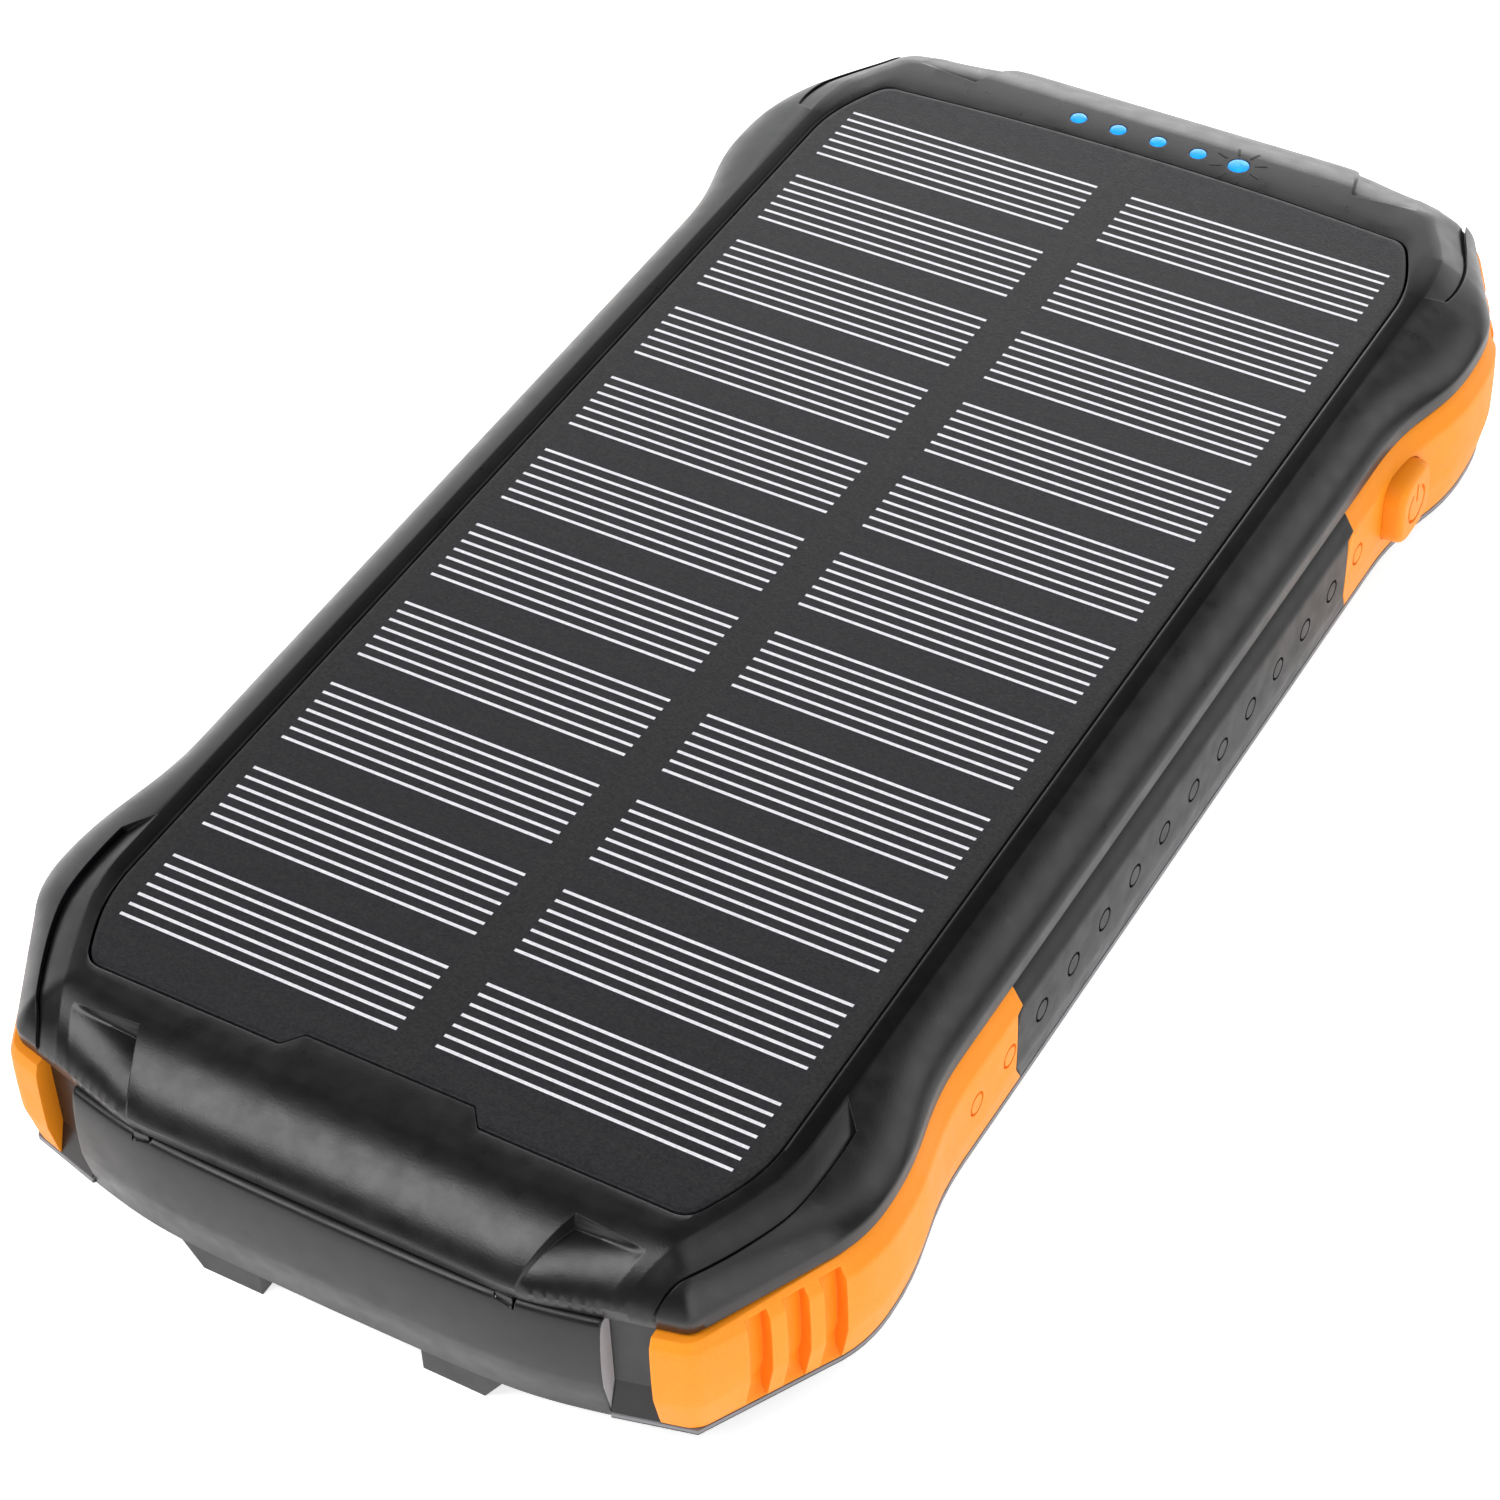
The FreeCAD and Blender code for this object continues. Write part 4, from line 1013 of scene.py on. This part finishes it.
def panel_material():
    """Matt laminate over dark cells, with a faint blue-violet cast on the cells."""
    material, tree, shader, place = start_material("panel_laminate_black")
    split = tree.nodes.new("ShaderNodeSeparateXYZ")
    link(tree, place, split.inputs[0])

    def inside(axis, pitch, offset, half):
        shifted = node(tree, "ShaderNodeMath", operation="ADD")
        link(tree, split.outputs[axis], shifted.inputs[0])
        shifted.inputs[1].default_value = offset * MM
        wave = node(tree, "ShaderNodeMath", operation="PINGPONG")
        link(tree, shifted.outputs[0], wave.inputs[0])
        wave.inputs[1].default_value = pitch / 2 * MM
        step = node(tree, "ShaderNodeMath", operation="LESS_THAN")
        link(tree, wave.outputs[0], step.inputs[0])
        step.inputs[1].default_value = half * MM
        return step.outputs[0]

    both = node(tree, "ShaderNodeMath", operation="MULTIPLY")
    link(tree, inside("Y", CELL_PITCH, -PANEL_SHIFT, 5.95), both.inputs[0])
    link(tree, inside("X", 33.2, 16.6, 14.95), both.inputs[1])
    grain = noise(tree, place, 0.32, 3.0, 0.7)
    base = mix(tree, spread(tree, grain, 0.0, 1.0), (0.008, 0.008, 0.0085), (0.026, 0.026, 0.0275))
    cell = mix(tree, spread(tree, grain, 0.0, 1.0), (0.007, 0.007, 0.009), (0.024, 0.0235, 0.028))
    tone = mix(tree, both.outputs[0], base, cell)
    link(tree, tone, shader.inputs["Base Color"])
    link(tree, spread(tree, noise(tree, place, 1.2, 3.0), 0.42, 0.52), shader.inputs["Roughness"])
    shader.inputs["Specular IOR Level"].default_value = 0.28
    bump = node(tree, "ShaderNodeBump", Distance=0.03 * MM, Strength=0.9)
    link(tree, noise(tree, place, 0.3, 2.0, 0.65), bump.inputs["Height"])
    soft = node(tree, "ShaderNodeBevel", samples=6, Radius=0.1 * MM)
    link(tree, soft.outputs["Normal"], bump.inputs["Normal"])
    link(tree, bump.outputs["Normal"], shader.inputs["Normal"])
    return material


def silver_material():
    material, tree, shader, place = start_material("printed_silver")
    tone = mix(tree, spread(tree, noise(tree, place, 0.4, 3.0), 0.0, 1.0),
               (0.80, 0.79, 0.87), (1.0, 0.99, 1.0))
    link(tree, tone, shader.inputs["Base Color"])
    shader.inputs["Metallic"].default_value = 0.15
    link(tree, spread(tree, noise(tree, place, 0.8), 0.38, 0.52), shader.inputs["Roughness"])
    bump = node(tree, "ShaderNodeBump", Distance=0.01 * MM)
    link(tree, noise(tree, place, 0.12), bump.inputs["Height"])
    link(tree, bump.outputs["Normal"], shader.inputs["Normal"])
    return material


def lens_material():
    material, tree, shader, place = start_material("lit_azure_lens")
    glow = mix(tree, spread(tree, noise(tree, place, 0.6, 3.0), 0.0, 1.0),
               (0.006, 0.28, 0.86), (0.012, 0.38, 1.0))
    link(tree, glow, shader.inputs["Base Color"])
    link(tree, glow, shader.inputs["Emission Color"])
    shader.inputs["Emission Strength"].default_value = 0.55
    link(tree, spread(tree, noise(tree, place, 0.5), 0.25, 0.4), shader.inputs["Roughness"])
    bump = node(tree, "ShaderNodeBump", Distance=0.01 * MM)
    link(tree, noise(tree, place, 0.3), bump.inputs["Height"])
    link(tree, bump.outputs["Normal"], shader.inputs["Normal"])
    return material


def metal(name, colour, rough, stretch=12.0):
    """Drawn or plated metal with fine brushing along one direction."""
    material, tree, shader, place = start_material(name)
    mapping = tree.nodes.new("ShaderNodeMapping")
    mapping.inputs["Scale"].default_value = (1.0, stretch, 1.0)
    link(tree, place, mapping.inputs["Vector"])
    brushed = noise(tree, mapping.outputs["Vector"], 1.2, 4.0, 0.65)
    tone = mix(tree, spread(tree, brushed, 0.0, 1.0), tuple(c * 0.85 for c in colour),
               tuple(min(1.0, c * 1.1) for c in colour))
    link(tree, tone, shader.inputs["Base Color"])
    shader.inputs["Metallic"].default_value = 1.0
    link(tree, spread(tree, brushed, rough - 0.08, rough + 0.1), shader.inputs["Roughness"])
    bump = node(tree, "ShaderNodeBump", Distance=0.01 * MM)
    link(tree, brushed, bump.inputs["Height"])
    link(tree, bump.outputs["Normal"], shader.inputs["Normal"])
    return material


def circuit():
    """Green solder mask with faint copper tracks showing through."""
    material, tree, shader, place = start_material("circuit_board_green")
    cells = tree.nodes.new("ShaderNodeTexVoronoi")
    cells.distance = "MANHATTAN"
    cells.feature = "DISTANCE_TO_EDGE"
    cells.inputs["Scale"].default_value = 1.0 / (2.5 * MM)
    link(tree, place, cells.inputs["Vector"])
    tracks = spread(tree, cells.outputs["Distance"], 1.0, 0.0, (0.05, 0.12))
    tone = mix(tree, tracks, (0.006, 0.085, 0.03), (0.02, 0.20, 0.07))
    tone = mix(tree, spread(tree, noise(tree, place, 5.0, 3.0), 0.0, 0.4), tone, (0.004, 0.06, 0.02))
    link(tree, tone, shader.inputs["Base Color"])
    link(tree, spread(tree, noise(tree, place, 0.7), 0.28, 0.42), shader.inputs["Roughness"])
    bump = node(tree, "ShaderNodeBump", Distance=0.03 * MM)
    link(tree, tracks, bump.inputs["Height"])
    link(tree, bump.outputs["Normal"], shader.inputs["Normal"])
    return material


MATERIALS = {
    "case_black": moulded("case_satin_black", (0.0055, 0.0055, 0.0062), 0.32, shine=0.5,
                          edge_amount=0.12, dull_bezel=True),
    # The base's rim carries a painted highlight, a pale grey band from 3.75 to 4.22 mm up.
    "base_black": moulded("base_satin_black", (0.0080, 0.0080, 0.0090), 0.38,
                          rim_highlight_band=(3.75, 4.22, (0.20, 0.20, 0.215))),
    "flap_edge": moulded("flap_edge_grey", (0.34, 0.34, 0.36), 0.42),
    "rail_black": moulded("rail_satin_black", (0.0055, 0.0055, 0.0062), 0.42, shine=0.33),
    "bumper_orange": moulded("bumper_orange_rubber", (1.0, 0.290, 0.008), 0.50, grain_depth_mm=0.012,
                             edge_colour=(1.0, 0.42, 0.06), edge_amount=0.3, patchiness=0.03, shine=0.28),
    "flap_black": moulded("flap_dark_rubber", (0.0070, 0.0070, 0.0080), 0.34, shine=0.45),
    "panel_black": panel_material(),
    "finger_silver": silver_material(),
    "lens_blue": lens_material(),
    "print_black": moulded("printed_black", (0.004, 0.004, 0.004), 0.55, patchiness=0.2),
    "steel": metal("plated_steel", (0.62, 0.62, 0.64), 0.32),
    "circuit_green": circuit(),
    "chip_black": moulded("epoxy_black", (0.014, 0.014, 0.015), 0.5),
    "cell_pouch": metal("pouch_film", (0.66, 0.67, 0.70), 0.38, 3.0),
    "foam_grey": moulded("foam_grey", (0.10, 0.10, 0.10), 0.85, 0.5, 0.12),
    "wire_red": moulded("wire_red", (0.50, 0.012, 0.010), 0.45, edge_amount=0.1),
    "wire_black": moulded("wire_black", (0.012, 0.012, 0.012), 0.45),
    "led_white": moulded("led_white", (0.78, 0.80, 0.76), 0.3),
    "ribbon_grey": moulded("ribbon_grey", (0.30, 0.30, 0.32), 0.5),
    "seal_grey": moulded("seal_grey", (0.06, 0.06, 0.065), 0.7),
}


def paint(piece, slot):
    piece.data.materials.clear()
    piece.data.materials.append(MATERIALS[slot])


def paint_cad_nodes():
    slots = {part["node"]: part["material_slot"] for part in frame["record"]["subparts"]}
    stand_in = {"cell_silicon": "panel_black", "panel_film": "panel_black"}
    for name, piece in frame["nodes"].items():
        under = name == "bottom_cover" or name.startswith("foot_pad")
        slot = "base_black" if under else slots[name]
        material = MATERIALS[stand_in.get(slot, slot)]
        if not piece.data.materials:
            piece.data.materials.append(material)
        for index in range(len(piece.data.materials)):
            piece.data.materials[index] = material


# ============================================================= the object
def finish_piece(piece, body, slot):
    paint(piece, slot)
    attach(piece, body)


LUG_RADIUS = 0.48
LUG_FRONT = 0.3
LUG_WIDTH = 1.6


def hinge_lugs():
    """The two ears under the lip that hold the port cover's pin."""
    low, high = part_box("hinge_pin")
    y = (low.y + high.y) / 2 / MM - PANEL_SHIFT
    z = (low.z + high.z) / 2 / MM
    top = LIP_BOTTOM - DROOP + 0.1
    start = math.pi - math.acos(LUG_FRONT / LUG_RADIUS)
    pieces = []
    for end in (low.x / MM, high.x / MM - LUG_WIDTH):
        rows = []
        for x in (end, end + LUG_WIDTH):
            row = [(x, y - LUG_FRONT, top)]
            for a in np.linspace(start, 2 * math.pi, 24):
                row.append((x, y + LUG_RADIUS * math.cos(a), z + LUG_RADIUS * math.sin(a)))
            row.append((x, y + LUG_RADIUS, top))
            rows.append(np.array(row))
        pieces.append(stacked_solid("lug", rows))
    return pieces


cover = top_cover()
cover_surface = Surface(cover)
finish_piece(sun_rays(cover_surface, DOTS[4][0], DOTS[4][1]), "case", "print_black")
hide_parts("sun_rays")
for index, (dot_x, dot_y, dot_radius) in enumerate(DOTS):
    dot = lens(cover_surface, dot_x, dot_y, dot_radius, "charge_lens_%d" % (index + 1))
    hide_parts("sun_indicator_lens" if index == 4 else "indicator_lenses")
    finish_piece(dot, "case", "lens_blue")
detail_top_cover(cover, cover_surface)
cover = join([cover] + hinge_lugs(), "shell_top")
smooth(cover)
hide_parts("top_cover")
finish_piece(cover, "case", "case_black")

for belt_piece, belt_node in belts():
    belt_slot = "rail_black" if "rail" in belt_node else "bumper_orange"
    finish_piece(belt_piece, "case", belt_slot)

finish_piece(power_button(), "button", "bumper_orange")
flap = port_cover()
finish_piece(flap, "cover", "flap_black")
# Both end faces of the port cover are painted light grey, far lighter than the rest of the cover.
flap.data.materials.append(MATERIALS["flap_edge"])
for face in flap.data.polygons:
    if abs(face.center.x) > (FLAP_HALF - 0.001) * MM:
        face.material_index = 1
finish_piece(solar_panel(), "case", "panel_black")
finish_piece(finger_lines(), "case", "finger_silver")
paint_cad_nodes()


# ================================================== floor, lights, camera
FLOOR_GLOW = 0.74


def floor_glow(tree, place):
    """Sweep lit evenly under and behind the object, dimmer towards the viewer."""
    split = tree.nodes.new("ShaderNodeSeparateXYZ")
    link(tree, place, split.inputs[0])
    behind = spread(tree, split.outputs["Y"], 0.0, 1.0, (-0.05, 0.25))
    reach = node(tree, "ShaderNodeVectorMath", operation="LENGTH")
    link(tree, place, reach.inputs[0])
    close = spread(tree, reach.outputs["Value"], 1.0, 0.12, (0.19, 0.42))
    most = node(tree, "ShaderNodeMath", operation="MAXIMUM")
    link(tree, behind, most.inputs[0])
    link(tree, close, most.inputs[1])
    glow = node(tree, "ShaderNodeMath", operation="MULTIPLY")
    link(tree, most.outputs[0], glow.inputs[0])
    glow.inputs[1].default_value = FLOOR_GLOW
    return glow.outputs[0]


def floor():
    verts, faces = [], []
    size, depth, bend, height = 2600.0, 2600.0, 500.0, 1500.0
    profile = [(-depth, 0.0), (1400.0, 0.0)]
    for a in np.linspace(0, math.pi / 2, 14)[1:]:
        profile.append((1400.0 + bend * math.sin(a), bend * (1 - math.cos(a))))
    profile.append((1400.0 + bend, height))
    for y, z in profile:
        verts += [(-size, y, z), (size, y, z)]
    for k in range(len(profile) - 1):
        faces.append((2 * k, 2 * k + 1, 2 * k + 3, 2 * k + 2))
    mesh = bpy.data.meshes.new("floor")
    mesh.from_pydata([tuple(c * MM for c in v) for v in verts], [], faces)
    sheet = bpy.data.objects.new("floor", mesh)
    bpy.context.collection.objects.link(sheet)
    mesh.polygons.foreach_set("use_smooth", [True] * len(mesh.polygons))
    material, tree, shader, place = start_material("pale_floor")
    tone = mix(tree, spread(tree, noise(tree, place, 120.0), 0.0, 1.0), (0.90, 0.90, 0.90), (0.93, 0.93, 0.93))
    link(tree, tone, shader.inputs["Base Color"])
    link(tree, tone, shader.inputs["Emission Color"])
    link(tree, floor_glow(tree, place), shader.inputs["Emission Strength"])
    shader.inputs["Roughness"].default_value = 0.8
    mesh.materials.append(material)
    sheet.rotation_euler = (0, 0, math.radians(31.8))


def softbox(name, direction, distance, spread_degrees, radiance):
    """Square soft light of a given brightness, seen from the object at that direction."""
    half = distance * math.tan(math.radians(spread_degrees))
    data = bpy.data.lights.new(name, "AREA")
    data.shape = "SQUARE"
    data.size = 2 * half
    data.energy = radiance * math.pi * (2 * half) ** 2
    lamp = bpy.data.objects.new(name, data)
    bpy.context.collection.objects.link(lamp)
    direction = Vector(direction).normalized()
    lamp.location = direction * distance
    lamp.rotation_mode = "QUATERNION"
    lamp.rotation_quaternion = (-direction).to_track_quat("-Z", "Y")


def lights():
    bpy.context.scene.view_settings.view_transform = "Standard"
    world = bpy.data.worlds.new("studio")
    bpy.context.scene.world = world
    world.use_nodes = True
    world.node_tree.nodes["Background"].inputs["Color"].default_value = (1, 1, 1, 1)
    world.node_tree.nodes["Background"].inputs["Strength"].default_value = 0.10
    softbox("port_end_box", (-0.38, -0.52, 0.76), 1.2, 17.0, 5.6)
    softbox("far_right_box", (0.62, 0.61, 0.49), 1.2, 15.0, 1.8)
    softbox("right_top_box", (0.56, 0.05, 0.80), 1.2, 14.0, 1.5)
    softbox("far_backdrop", (-0.22, 0.94, 0.13), 1.2, 24.0, 2.3)
    softbox("near_right_box", (0.80, -0.50, 0.30), 1.2, 20.0, 2.4)


def camera():
    data = bpy.data.cameras.new("camera")
    data.sensor_width = 36.0
    data.lens = 99.9
    data.clip_start = 0.01
    data.clip_end = 20.0
    rig = bpy.data.objects.new("camera", data)
    bpy.context.collection.objects.link(rig)
    azimuth = math.radians(31.811)
    elevation = math.radians(44.331)
    roll = math.radians(-2.820)
    back = Vector((math.sin(azimuth) * math.cos(elevation),
                   -math.cos(azimuth) * math.cos(elevation), math.sin(elevation)))
    right = Vector((math.cos(azimuth), math.sin(azimuth), 0))
    up = back.cross(right)
    x_axis = right * math.cos(roll) + up * math.sin(roll)
    y_axis = up * math.cos(roll) - right * math.sin(roll)
    turn = Matrix((x_axis, y_axis, back)).transposed()
    rig.rotation_mode = "QUATERNION"
    rig.rotation_quaternion = turn.to_quaternion()
    rig.location = (0.1506, -0.2536 + PANEL_SHIFT * MM, 0.28755)
    bpy.context.scene.camera = rig


floor()
lights()
camera()

bpy.context.view_layer.update()
